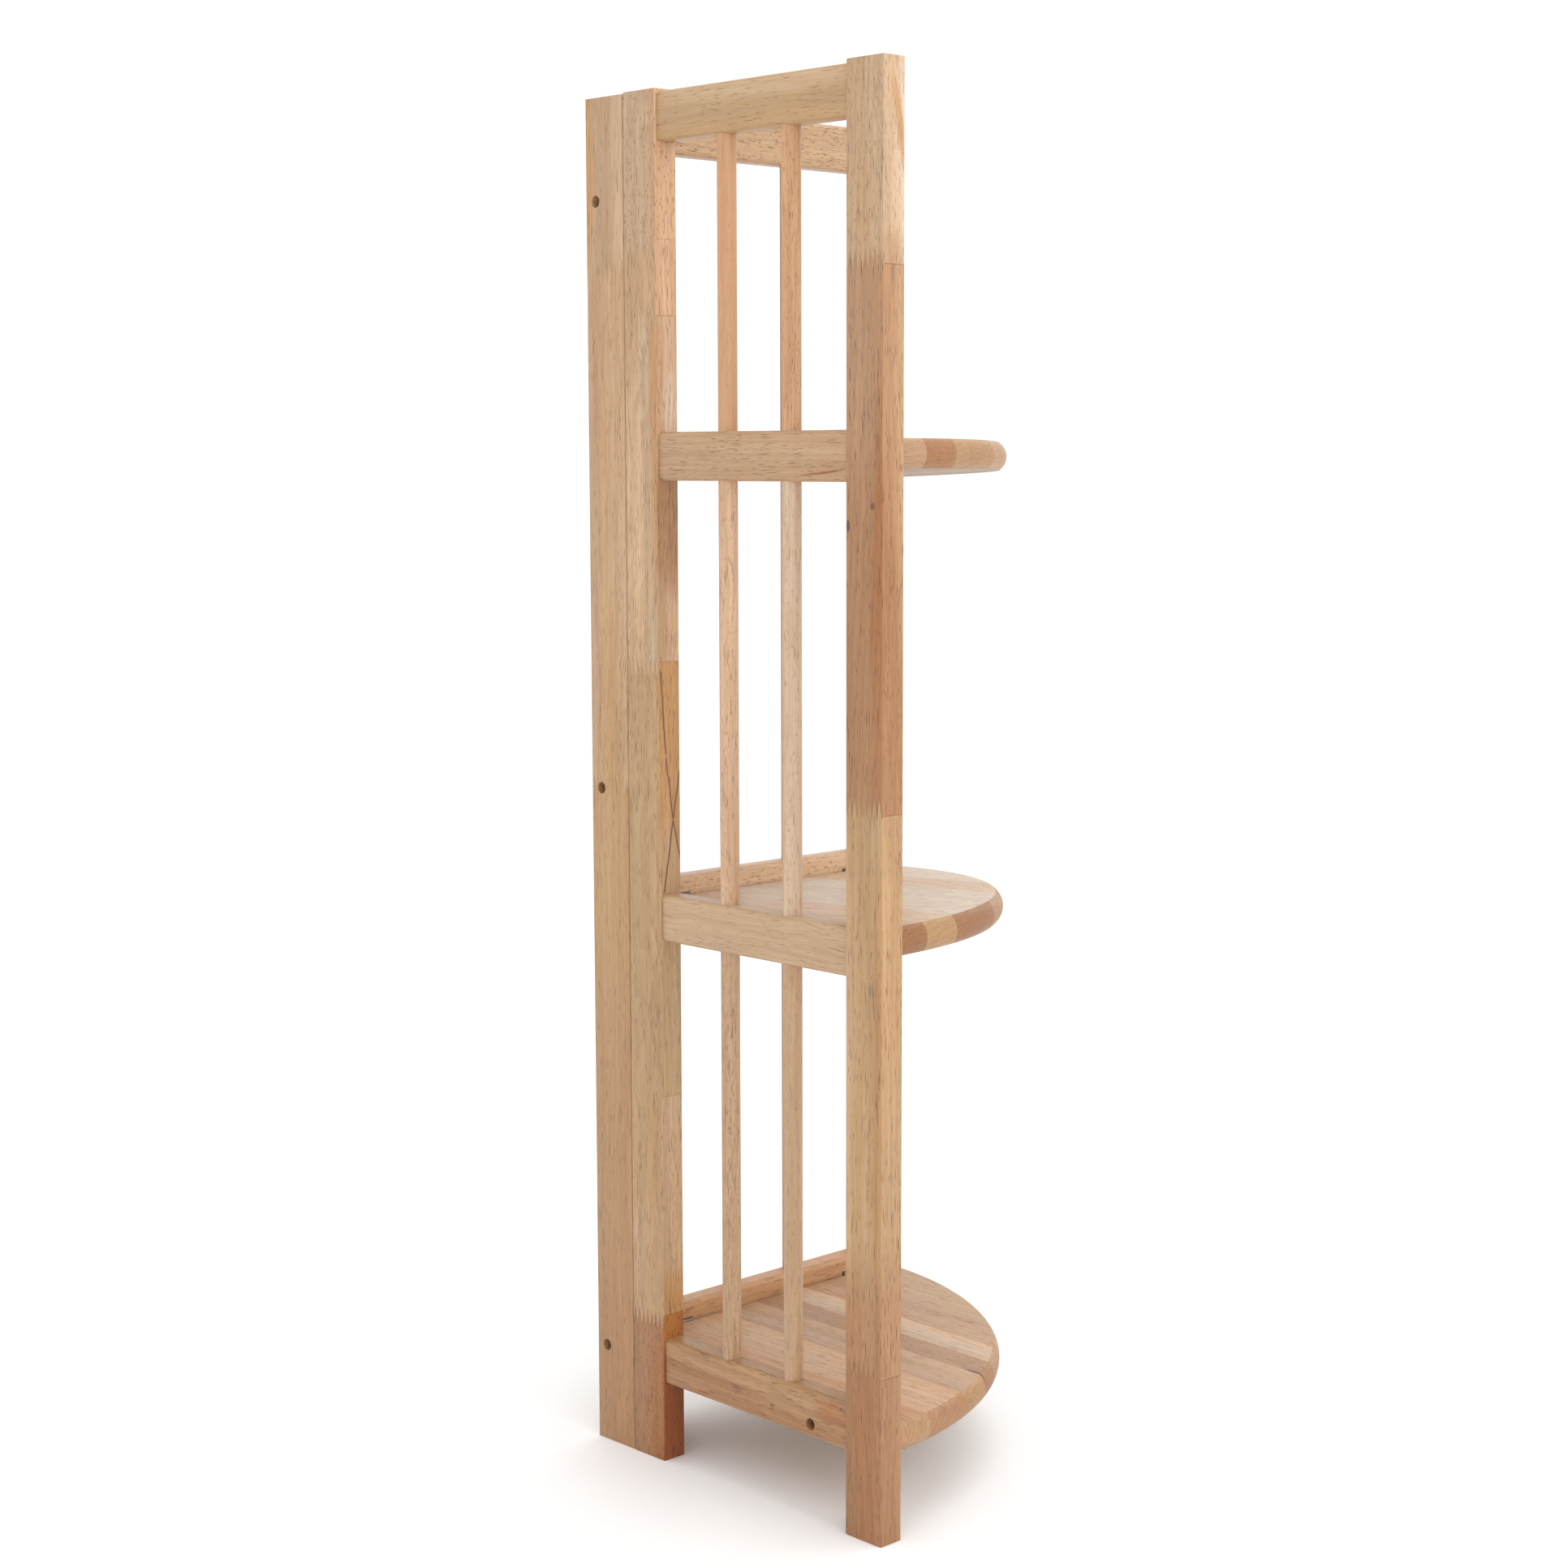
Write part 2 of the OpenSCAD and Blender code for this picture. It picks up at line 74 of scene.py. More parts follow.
MM = 0.001
QUARTER = math.pi / 2
# Edges whose faces meet at a larger angle stay sharp
SHARP = math.radians(38)
# The share of white that the lacquer mirrors, how bright the studio lights a colour of 1, and the
# darkest that a pigment gets
SHEEN = 0.05
LIGHT = 1.11
DARKEST = 0.01


class Axis(Enum):
    """A direction of the frame, as the index of its coordinate."""

    X = 0
    Y = 1
    Z = 2


class Slot(Enum):
    """The record's material slots."""

    POST = "post_wood"
    RAIL = "rail_wood"
    SPINDLE = "spindle_wood"
    SHELF = "shelf_wood"
    DOWEL = "dowel_wood"
    STEEL = "zinc_steel"


class Tone(Enum):
    """Colours of lacquered rubberwood blocks as they look in the studio's light, in 8-bit sRGB."""

    CHALK = (226, 208, 189)
    IVORY = (223, 193, 165)
    MILK = (216, 181, 150)
    CREAM = (214, 187, 160)
    PALE = (200, 171, 141)
    BLOND = (197, 165, 134)
    PINK = (201, 168, 140)
    PEACH = (210, 167, 130)
    HONEY = (204, 161, 118)
    STRAW = (193, 161, 123)
    BISCUIT = (190, 156, 119)
    SAND = (185, 151, 117)
    TAN = (189, 152, 121)
    AMBER = (197, 152, 105)
    CARAMEL = (191, 141, 98)
    RUSSET = (180, 138, 104)
    FAWN = (177, 135, 101)
    CLAY = (172, 130, 97)
    GINGER = (174, 122, 82)
    OCHRE = (183, 126, 82)
    UMBER = (154, 97, 52)

    def pigment(self) -> tuple[float, ...]:
        """The wood's own linear colour: what is seen, less the lacquer's sheen, over the light."""
        seen = np.array(linear_colour(self.value)[:3])
        return (*np.maximum((seen - SHEEN) / LIGHT, DARKEST).tolist(), 1.0)


class Shade(Enum):
    """Linear colours of the wood's structure and of painted shade, with how each is laid on and its usual
    strength.
    """

    RING = ("MULTIPLY", (0.74, 0.62, 0.50, 1), 0.42)
    DASH = ("MULTIPLY", (0.58, 0.44, 0.32, 1), 0.75)
    PORE = ("MULTIPLY", (0.27, 0.14, 0.07, 1), 0.90)
    END = ("MULTIPLY", (0.80, 0.68, 0.56, 1), 0.60)
    FLECK = ("MULTIPLY", (0.40, 0.25, 0.15, 1), 1.0)
    GLUE = ("MULTIPLY", (0.42, 0.29, 0.20, 1), 1.0)
    SEAM = ("MIX", (0.24, 0.13, 0.07, 1), 0.80)
    # Painted shade that darkens and greys faces that look down
    PAINTED_UNDERSIDE_SHADE = ("MULTIPLY", (0.70, 0.69, 0.62, 1), 1.0)
    KNOT = ("MIX", (0.115, 0.042, 0.018, 1), 1.0)
    VEIN = ("MIX", (0.14, 0.055, 0.022, 1), 1.0)


def tones(names: str) -> tuple[Tone, ...]:
    """The tones that a line of names gives."""
    return tuple(Tone[name] for name in names.split())


def linear_colour(srgb: Sequence[float]) -> tuple[float, ...]:
    """Turns an 8-bit sRGB colour into a linear one.

    Args:
        srgb: Red, green and blue from 0 to 255.

    Returns:
        Linear red, green, blue and an alpha of 1.
    """
    share = np.asarray(srgb, float) / 255
    value = np.where(share <= 0.04045, share / 12.92, ((share + 0.055) / 1.055) ** 2.4)
    return (*value.tolist(), 1.0)


def math_operator(operation: str, swapped: bool = False) -> Callable[["Number", Any], "Number"]:
    """One of Python's operators, or a method of two numbers, that adds a Math node.

    Args:
        operation: The Math node's operation.
        swapped: Whether the other number comes first, as in 1 - mask.

    Returns:
        The method.
    """

    def method(self: "Number", other: "Number | float") -> "Number":
        """Adds the node."""
        return self.graph.math(operation, *((other, self) if swapped else (self, other)))

    return method


class Number:
    """A number socket on which Python's operators add Math nodes."""

    def __init__(self, graph: "Graph", socket: Socket) -> None:
        """Keeps the socket and the graph that it belongs to."""
        self.graph = graph
        self.socket = socket

    __add__ = math_operator("ADD")
    __radd__ = math_operator("ADD", swapped=True)
    __sub__ = math_operator("SUBTRACT")
    __rsub__ = math_operator("SUBTRACT", swapped=True)
    __mul__ = math_operator("MULTIPLY")
    __rmul__ = math_operator("MULTIPLY", swapped=True)
    __truediv__ = math_operator("DIVIDE")
    __pow__ = math_operator("POWER")
    __gt__ = math_operator("GREATER_THAN")
    least = math_operator("MINIMUM")
    most = math_operator("MAXIMUM")

    def __abs__(self) -> "Number":
        """This number without its sign."""
        return self.graph.math("ABSOLUTE", self)

    def exponential(self) -> "Number":
        """Euler's number raised to this one."""
        return self.graph.math("EXPONENT", self)

    def fraction(self) -> "Number":
        """What is left of this number above its whole part."""
        return self.graph.math("FRACT", self)

    def triangle(self, period: float) -> "Number":
        """A triangle wave of this number, from 0 to 1 and back once a period."""
        return self.graph.math("PINGPONG", self, period / 2) * (2 / period)

    def steps(self, start: float, end: float) -> "Number":
        """A smooth step of this number.

        Args:
            start: The value at which the step begins, where the result is 0.
            end: The value at which it has reached 1; it may lie below start.

        Returns:
            A number from 0 to 1.
        """
        settings = {"interpolation_type": "SMOOTHSTEP", "clamp": True}
        low, high, a, b = (start, end, 0.0, 1.0) if end > start else (end, start, 1.0, 0.0)
        inputs = {"Value": self, "From Min": low, "From Max": high, "To Min": a, "To Max": b}
        return self.graph.number("ShaderNodeMapRange", settings, inputs)


class Graph:
    """The node tree of one material."""

    def __init__(self, name: str) -> None:
        """Makes the material with an empty tree.

        Args:
            name: The material's name.
        """
        self.material = bpy.data.materials.new(name)
        self.material.use_nodes = True
        self.tree = self.material.node_tree
        self.tree.nodes.clear()

    def node(self, kind: str, settings: Mapping[str, Any], inputs: Mapping[Any, Any]) -> bpy.types.Node:
        """Adds a node.

        Args:
            kind: The node's type.
            settings: Its properties, set before its sockets.
            inputs: For each socket, by name or number, a Number, a socket or a plain value.

        Returns:
            The new node.
        """
        made = self.tree.nodes.new(kind)
        for key, value in settings.items():
            setattr(made, key, value)
        for key, value in inputs.items():
            source = value.socket if isinstance(value, Number) else value
            if isinstance(source, Socket):
                self.tree.links.new(source, made.inputs[key])
            else:
                made.inputs[key].default_value = source
        return made

    def number(self, kind: str, settings: Mapping[str, Any], inputs: Mapping[Any, Any]) -> Number:
        """The first result of a new node as a number."""
        return Number(self, self.node(kind, settings, inputs).outputs[0])

    def math(self, operation: str, *values: Number | float) -> Number:
        """The result of a Math node on one value or two."""
        return self.number("ShaderNodeMath", {"operation": operation}, dict(enumerate(values)))

    def constant(self, value: float) -> Number:
        """A number that is the same everywhere."""
        return self.math("ADD", value, 0.0)

    def split(self, vector: Socket) -> list[Number]:
        """The three parts of a vector as numbers."""
        made = self.node("ShaderNodeSeparateXYZ", {}, {0: vector})
        return [Number(self, part) for part in made.outputs]

    def object_point(self) -> list[Number]:
        """The three coordinates of the shaded point on its object."""
        return self.split(self.node("ShaderNodeTexCoord", {}, {}).outputs["Object"])

    def join(self, parts: Iterable[Number | float]) -> Socket:
        """A vector from its three parts."""
        return self.node("ShaderNodeCombineXYZ", {}, dict(enumerate(parts))).outputs[0]

    def mix(self, low: Any, high: Any, factor: Number | float, blend: str = "MIX") -> Socket:
        """Two colours mixed in the named way, where the factor is the share of the second one."""
        settings = {"data_type": "RGBA", "blend_type": blend}
        return self.node("ShaderNodeMix", settings, {0: factor, 6: low, 7: high}).outputs[2]

    def noise(
        self, parts: Iterable[Number], counts: Iterable[float], detail: float = 1.0, roughness: float = 0.5
    ) -> Number:
        """Noise that is stretched along the coordinates.

        Args:
            parts: The point's three coordinates.
            counts: How many cells a metre holds along each of them.
            detail: How many finer octaves are added.
            roughness: Their strength, from 0 to 1.

        Returns:
            The noise, about 0.5 on average.
        """
        point = self.join([part * count for part, count in zip(parts, counts)])
        inputs = {"Vector": point, "Scale": 1.0, "Detail": detail, "Roughness": roughness}
        return self.number("ShaderNodeTexNoise", {}, inputs)

    def cells(self, parts: Iterable[Number], sizes: Iterable[float]) -> tuple[Number, list[Number]]:
        """Scattered points, one in each cell of a grid.

        Args:
            parts: The point's three coordinates.
            sizes: A cell's size along each of them.

        Returns:
            The distance to the nearest scattered point, in cells, and that point's three random numbers.
        """
        point = self.join([part / size for part, size in zip(parts, sizes)])
        made = self.node("ShaderNodeTexVoronoi", {"feature": "F1"}, {"Vector": point, "Scale": 1.0})
        return Number(self, made.outputs["Distance"]), self.split(made.outputs["Color"])

    def ramp(self, factor: Number, colours: Sequence[tuple[float, ...]]) -> Socket:
        """A ramp of bands of equal width with hard edges.

        Args:
            factor: Where along the ramp, from 0 to 1.
            colours: The bands' colours, two or more.

        Returns:
            The colour of the band at factor.
        """
        made = self.node("ShaderNodeValToRGB", {}, {0: factor})
        made.color_ramp.interpolation = "CONSTANT"
        elements = made.color_ramp.elements
        while len(elements) < len(colours):
            elements.new(1.0)
        for i, colour in enumerate(colours):
            elements[i].position = i / len(colours)
            elements[i].color = colour
        return made.outputs[0]

    def relief(self, height: Number, strength: float, depth: float) -> Socket:
        """The face's direction as a height bends it, which is depth metres high at 1."""
        inputs = {"Height": height, "Strength": strength, "Distance": depth}
        return self.node("ShaderNodeBump", {}, inputs).outputs[0]

    def finish(self, inputs: Mapping[str, Any]) -> bpy.types.Material:
        """Ends the tree in a Principled shader.

        Args:
            inputs: The shader's inputs by name.

        Returns:
            The material.
        """
        shader = self.node("ShaderNodeBsdfPrincipled", {}, inputs)
        self.node("ShaderNodeOutputMaterial", {}, {0: shader.outputs[0]})
        return self.material


@dataclass(frozen=True)
class Knot:
    """A small knot or dark spot that the grain runs round.

    Fields are its place across the wide face and along the grain, its radius across, how much longer
    it is along the grain, and how dark it is.
    """

    across: float
    along: float
    radius: float
    stretch: float
    dark: float = 0.8


@dataclass(frozen=True)
class Vein:
    """A thin dark line on the narrow face, straight from one place to another, across and along."""

    start: tuple[float, float]
    end: tuple[float, float]
    width: float = 0.7 * MM
    dark: float = 0.95


# Most of these patches are real stains; a few on the left rear post are painted shade and painted light
@dataclass(frozen=True)
class StainOrPaintedLight:
    """A soft patch of another tone in one block, longer along the grain than across it.

    Fields are its tone, the block that it lies in, its centre and half size across and along, its
    strength, whether it lies on the narrow face, and how far it slants across for each metre along.
    """

    tone: Tone
    block: int
    across: float
    along: float
    half_width: float
    half_length: float
    strength: float
    narrow: bool = False
    slant: float = 0.0


def stains(*rows: tuple[Any, ...]) -> tuple[StainOrPaintedLight, ...]:
    """Tone patches from rows of a tone's name, a block, four sizes in millimetres and further fields."""
    return tuple(StainOrPaintedLight(Tone[row[0]], row[1], *(v * MM for v in row[2:6]), *row[6:]) for row in rows)


@dataclass(frozen=True)
class Streak:
    """Noise that is stretched along the grain and may tint the wood.

    Fields are its cells in a metre along and across the grain, its finer octaves, the linear colours
    at its low and its high end, and the noise at which each end is reached.
    """

    along: float
    across: float
    detail: float
    low: tuple[float, ...] = (1, 1, 1, 1)
    high: tuple[float, ...] = (1, 1, 1, 1)
    start: float = 0.0
    end: float = 1.0


@dataclass(frozen=True)
class Rubberwood:
    """Lacquered rubberwood made of blocks, with growth rings, pores, glue lines and end grain.

    Attributes:
        name: Name of the material.
        grain: Direction of the fibres.
        wide: Direction across the piece's wide face.
        blocks: The blocks' tones in order along the jointing direction.
        joints: Where one block ends and the next one starts, in metres.
        narrow: Their tones on the narrow faces, where those are cut through other growth.
        jointed: Direction in which glued staves follow each other, or none for finger joints.
        seed: Starting number of the blocks' random figure.
        figure: Strength of the growth rings.
        pores: Strength of the pores.
        lean: Turn of the pattern about Y, in degrees, for a shelf that leans.
        hinge: The point that the pattern turns about.
        knots: Knots on the wide face.
        veins: Dark veins on the narrow face.
        stains: Soft patches of another tone: stains, and painted shade and painted light.
        flecks: Strength of short wavy dark flecks.
        flecked: Blocks that have the flecks, or none to give them to all.
        contrast: Strength of the bands, hues and fibres.
        glue: Strength of the glue lines.
        open_seam: Place of a joint that has opened to a hairline, or none.
        painted_underside_shade: Strength of the painted shade that darkens and greys faces that look down.
        coat: Weight of the lacquer's gloss.
    """

    name: str
    grain: Axis
    wide: Axis
    blocks: tuple[Tone, ...]
    joints: tuple[float, ...] = ()
    narrow: tuple[Tone, ...] = ()
    jointed: Axis | None = None
    seed: float = 0.0
    figure: float = 1.0
    pores: float = 1.0
    lean: float = 0.0
    hinge: tuple[float, float, float] = (0.0, 0.0, 0.0)
    knots: tuple[Knot, ...] = ()
    veins: tuple[Vein, ...] = ()
    stains: tuple[StainOrPaintedLight, ...] = ()
    flecks: float = 0.0
    flecked: tuple[int, ...] = ()
    contrast: float = 0.8
    glue: float = 0.62
    open_seam: float | None = None
    painted_underside_shade: float = 0.0
    coat: float = 0.22

    def material(self) -> bpy.types.Material:
        """Builds the material, whose colour, roughness and relief follow the wood's structure, with any
        painted shade and light.
        """
        return WoodGraph(self).paint()


class WoodGraph(Graph):
    """The node tree of a wooden piece.

    Attributes:
        wood: The finish that is built.
        normal: The three parts of the face's direction.
        along: The shaded point's coordinate along the grain, brought back to level where a shelf leans.
        wide: Its coordinate across the wide face.
        thin: Its coordinate across the narrow face.
        level: Its coordinate along the direction in which the blocks follow each other.
        side: 1 on a narrow face and 0 on a wide one.
        index: The number of the point's block, from 0.
        glued: How close the point is to a glue line, from 0 to 1.
        chance: Three random numbers of the block, from 0 to 1.
        push: How far the knots push the grain aside, in metres.
        hearts: 1 in the dark hearts of the knots and 0 outside.
        ripple: How far the fibres waver to the side.
        bent: The same with their slow drift.
        moved: The point in its block's own stretch of wood, along the grain, across its wide and
            across its narrow face.
    """

    # Finger joints, glue lines and growth rings
    tooth_length = 14 * MM
    tooth_pitch = 4.6 * MM
    glue_width = 0.16 * MM
    finger_glue = 3.0
    seam_width = 0.2 * MM
    ring_pitch = 4.2 * MM
    pith_distance = 42 * MM
    pith_spread = 60 * MM
    pith_lean = (0.10, 0.16)
    ring_wander = 16 * MM
    # The step from one block's random figure to the next one's, and how far apart they are cut
    block_seed = 1.37
    shifts = (3.1, 1.7, 2.3)
    # How far the fibres waver to the side, and how far they drift slowly
    waver = 1.2 * MM
    drift = 9 * MM
    # Length and width of the coarse and the fine pores, and how few of their places are taken
    pore_kinds = ((30 * MM, 1.35 * MM, 0.74), (14 * MM, 1.1 * MM, 0.78))
    fleck_length = 5.5 * MM
    fleck_width = 1.9 * MM
    fleck_bend = 3.2 * MM

    bands = Streak(2.2, 85, 2.0, (0.89, 0.84, 0.77, 1), (1.08, 1.10, 1.12, 1), 0.30, 0.70)
    hues = Streak(1.4, 34, 1.5, (1.05, 0.98, 0.87, 1), (0.98, 1.01, 1.06, 1), 0.33, 0.67)
    fibres = Streak(17, 760, 3.0, (0.88, 0.83, 0.76, 1), (1.09, 1.10, 1.12, 1), 0.32, 0.66)
    dashes = Streak(80, 900, 1.0)
    crowds = Streak(7, 110, 1.0)

    def __init__(self, wood: Rubberwood) -> None:
        """Works out in which block the shaded point lies, and how the grain is bent there.

        Args:
            wood: The finish to build.
        """
        super().__init__(wood.name)
        self.wood = wood
        place = self.node("ShaderNodeTexCoord", {}, {})
        point = place.outputs["Object"]
        self.normal = self.split(place.outputs["Normal"])
        parts = self.split(self.unleaned(point) if wood.lean else point)
        narrow = 3 - wood.grain.value - wood.wide.value
        order = (wood.grain.value, wood.wide.value, narrow)
        self.along, self.wide, self.thin = (parts[i] for i in order)
        self.level = parts[(wood.jointed or wood.grain).value]
        self.side = abs(self.normal[narrow]).steps(0.92, 0.85)
        self.index, self.glued = self.count_blocks()
        inputs = {"W": self.index * self.block_seed + wood.seed}
        chance = self.node("ShaderNodeTexWhiteNoise", {"noise_dimensions": "1D"}, inputs)
        self.chance = self.split(chance.outputs["Color"])
        self.push, self.hearts = self.knot_marks()
        here = (self.along, self.wide, self.thin)
        self.ripple = (self.noise(here, (65, 70, 70)) - 0.5) * self.waver
        self.bent = (self.noise(here, (7, 18, 18)) - 0.5) * self.drift + self.ripple
        moved = [part + chance * shift for part, chance, shift in zip(here, self.chance, self.shifts)]
        self.moved = [moved[0], moved[1] + self.push + self.bent, moved[2] + self.bent]

    def unleaned(self, point: Socket) -> Socket:
        """Turns a leaning shelf's point back to level about its hinge line.

        Args:
            point: The point in the frame.

        Returns:
            The same point on the level board.
        """
        turn, hinge = math.radians(self.wood.lean), Vector(self.wood.hinge)
        shift = hinge - Matrix.Rotation(turn, 3, "Y") @ hinge
        inputs = {"Vector": point, "Location": shift, "Rotation": (0.0, turn, 0.0)}
        return self.node("ShaderNodeMapping", {"vector_type": "POINT"}, inputs).outputs[0]

    def count_blocks(self) -> tuple[Number, Number]:
        """Counts the joints that lie below the point.

        A finger joint's edge is the joint's place plus a triangle wave across the wide face.

        Returns:
            The block's number from 0, and how close the point is to a glue line, from 0 to 1.
        """
        level, width = self.level, self.glue_width
        if self.wood.jointed is None:
            teeth = self.wide.triangle(self.tooth_pitch) - 0.5
            level = level + teeth * self.tooth_length
            width *= self.finger_glue
        index, nearest = self.constant(0.0), self.constant(1.0)
        for joint in self.wood.joints:
            above = level - joint
            index = index + (above > 0.0)
            nearest = nearest.least(abs(above))
        return index, nearest.steps(width, width * 0.35)

    def knot_marks(self) -> tuple[Number, Number]:
        """How far the knots push the grain aside, and where their dark hearts are.

        The push is the distance across times a bell curve of the distance all round.

        Returns:
            The push in metres and the hearts' mask, both 0 without knots.
        """
        push = hearts = self.constant(0.0)
        for knot in self.wood.knots:
            across = (self.wide - knot.across) / knot.radius
            along = (self.along - knot.along) / (knot.radius * knot.stretch)
            square = across * across + along * along
            push = across * (square * -0.22).exponential() * (knot.radius * 0.9) + push
            hearts = hearts.most(square.steps(1.1, 0.25) * knot.dark)
        return push, hearts

    def streak(self, kind: Streak) -> Number:
        """The noise of a kind of streak at the point, about 0.5 on average."""
        return self.noise(self.moved, (kind.along, kind.across, kind.across), kind.detail, 0.62)

    def tone_among(self, choice: Sequence[Tone]) -> Any:
        """The colour of the point's block.

        Args:
            choice: A tone for each block, or one for all.

        Returns:
            A colour or a colour's socket.
        """
        colours = [tone.pigment() for tone in choice]
        if len(colours) == 1:
            return colours[0]
        return self.ramp((self.index + 0.5) / len(colours), colours)

    def in_block(self, block: int) -> Number:
        """1 in the block with this number and 0 in the others."""
        return abs(self.index - block).steps(0.6, 0.4)

    def ring_mask(self) -> Number:
        """Growth rings: the distance from a pith line that leans and wanders, in a slow sawtooth.

        Returns:
            1 at the dark end of a ring, falling to 0 over the rest of it.
        """
        first, second, third = self.chance
        wide = self.wide + self.ripple
        wander = self.noise((self.along, wide, self.thin), (11, 22, 22), 2.0, 0.55) * self.ring_wander
        lean_wide, lean_thin = self.pith_lean
        pith_wide = (first - 0.5) * self.pith_spread + self.along * ((third - 0.5) * lean_wide)
        pith_thin = (second - 0.5) * self.pith_spread + self.along * ((first - 0.5) * lean_thin)
        a = wide - pith_wide + wander + self.push
        b = self.thin - pith_thin - self.pith_distance + wander
        radius = (a * a + b * b) ** 0.5
        phase = (radius / self.ring_pitch + second * 5.0).fraction()
        return phase**2.0 * phase.steps(1.0, 0.88)

    def pore_mask(self, crowd: Number) -> Number:
        """Open pores: long thin grains round scattered points, denser where the crowd number is high.

        Args:
            crowd: How densely the pores stand, about 0.5 on average.

        Returns:
            1 inside a pore and 0 outside.
        """
        masks = []
        for length, width, rarity in self.pore_kinds:
            distance, chance = self.cells(self.moved, (length, width, width))
            kept = chance[0] + crowd * 0.6 > rarity
            masks.append(distance.steps(0.28, 0.12) * kept * (0.35 + chance[1] * 0.65))
        return masks[0].most(masks[1])

    def fleck_mask(self) -> Number:
        """Short wavy flecks: small long cells round scattered points, which a fine noise bends.

        Returns:
            1 inside a fleck and 0 outside.
        """
        bend = (self.noise(self.moved, (190, 190, 190)) - 0.5) * self.fleck_bend
        point = (self.moved[0], self.moved[1] + bend, self.moved[2] + bend)
        distance, chance = self.cells(point, (self.fleck_length, self.fleck_width, self.fleck_width))
        mask = distance.steps(0.34, 0.16) * (chance[0] > 0.22) * (chance[1] * 0.5 + 0.5)
        if not self.wood.flecked:
            return mask
        kept = self.constant(0.0)
        for block in self.wood.flecked:
            kept = kept + self.in_block(block)
        return mask * kept

    def stain_or_painted_light_mask(self, stain: StainOrPaintedLight) -> Number:
        """A soft ellipse whose edge wavers with the fibres.

        Args:
            stain: The patch of another tone.

        Returns:
            The patch's share of the colour, from 0 to 1.
        """
        across = (self.thin if stain.narrow else self.wide) + self.bent
        step = self.along - stain.along
        a = (across - stain.across - step * stain.slant) / stain.half_width
        b = step / stain.half_length
        on_face = self.side if stain.narrow else 1.0 - self.side
        return (a * a + b * b).steps(1.25, 0.1) * self.in_block(stain.block) * on_face * stain.strength

    def vein_mask(self, vein: Vein) -> Number:
        """A thin line: where across it lies is a straight function of where along the grain.

        Args:
            vein: The vein.

        Returns:
            How dark the vein is, from 0 to 1.
        """
        (across, start), (end_across, end) = vein.start, vein.end
        half = abs(end - start) / 2
        slope = (end_across - across) / (end - start)
        off = abs(self.thin + self.ripple - across - (self.along - start) * slope)
        near = abs(self.along - (start + end) / 2).steps(half * 1.02, half * 0.92)
        return off.steps(vein.width * 1.5, vein.width * 0.4) * near * self.side * vein.dark

    def seam_mask(self, seam: float) -> Number:
        """A joint at this place that has opened to a hairline, fainter on the narrow face."""
        off = abs(self.level - seam).steps(self.seam_width * 2.75, self.seam_width)
        return off * (1.0 - self.side * 0.5)

    def paint(self) -> bpy.types.Material:
        """Lays the wood's structure, tone patches and painted shade and light over the tones of its
        blocks.

        Returns:
            The material.
        """
        wood = self.wood
        fibre = self.streak(self.fibres)
        crowd = self.streak(self.crowds) + self.chance[2] * 0.12
        dashes = (self.streak(self.dashes) + crowd * 0.28).steps(0.80, 0.90)
        pores = self.pore_mask(crowd)
        end = abs(self.normal[wood.grain.value]).steps(0.55, 0.9)

        colour = self.tone_among(wood.blocks)
        if wood.narrow:
            colour = self.mix(colour, self.tone_among(wood.narrow), self.side)
        # Patches of another tone: stains, and on the left rear post also painted shade and painted light
        for stain in wood.stains:
            colour = self.mix(colour, stain.tone.pigment(), self.stain_or_painted_light_mask(stain))
        strength = (self.chance[1] * 0.6 + 0.7) * wood.contrast
        noises = (self.streak(self.bands), self.streak(self.hues), fibre)
        for kind, noise in zip((self.bands, self.hues, self.fibres), noises):
            tint = self.mix(kind.low, kind.high, noise.steps(kind.start, kind.end))
            colour = self.mix(colour, tint, strength, "MULTIPLY")
        layers = [
            (Shade.RING, self.ring_mask(), wood.figure),
            (Shade.DASH, dashes, wood.pores),
            (Shade.PORE, pores, wood.pores),
            (Shade.END, end, 1.0),
        ]
        if wood.flecks:
            layers.append((Shade.FLECK, self.fleck_mask(), wood.flecks))
        if wood.joints:
            layers.append((Shade.GLUE, self.glued, wood.glue))
        if wood.open_seam is not None:
            layers.append((Shade.SEAM, self.seam_mask(wood.open_seam), 1.0))
        # Painted shade: faces that look down are darkened and greyed
        if wood.painted_underside_shade:
            layers.append((Shade.PAINTED_UNDERSIDE_SHADE, self.normal[2].steps(-0.6, -0.95), wood.painted_underside_shade))
        if wood.knots:
            layers.append((Shade.KNOT, self.hearts, 1.0))
        layers += [(Shade.VEIN, self.vein_mask(vein), 1.0) for vein in wood.veins]
        for shade, mask, share in layers:
            blend, own, usual = shade.value
            colour = self.mix(colour, own, mask * min(usual * share, 1.0), blend)

        height = fibre * 0.5 - pores * 0.8 - dashes * 0.4
        inputs = {
            "Base Color": colour,
            "Roughness": 0.42 + fibre * 0.12 + pores * 0.18 + end * 0.12,
            "Normal": self.relief(height, 0.30, 0.25 * MM),
            "Coat Weight": wood.coat,
            "Coat Roughness": 0.32,
            "IOR": 1.48,
        }
        return self.finish(inputs)


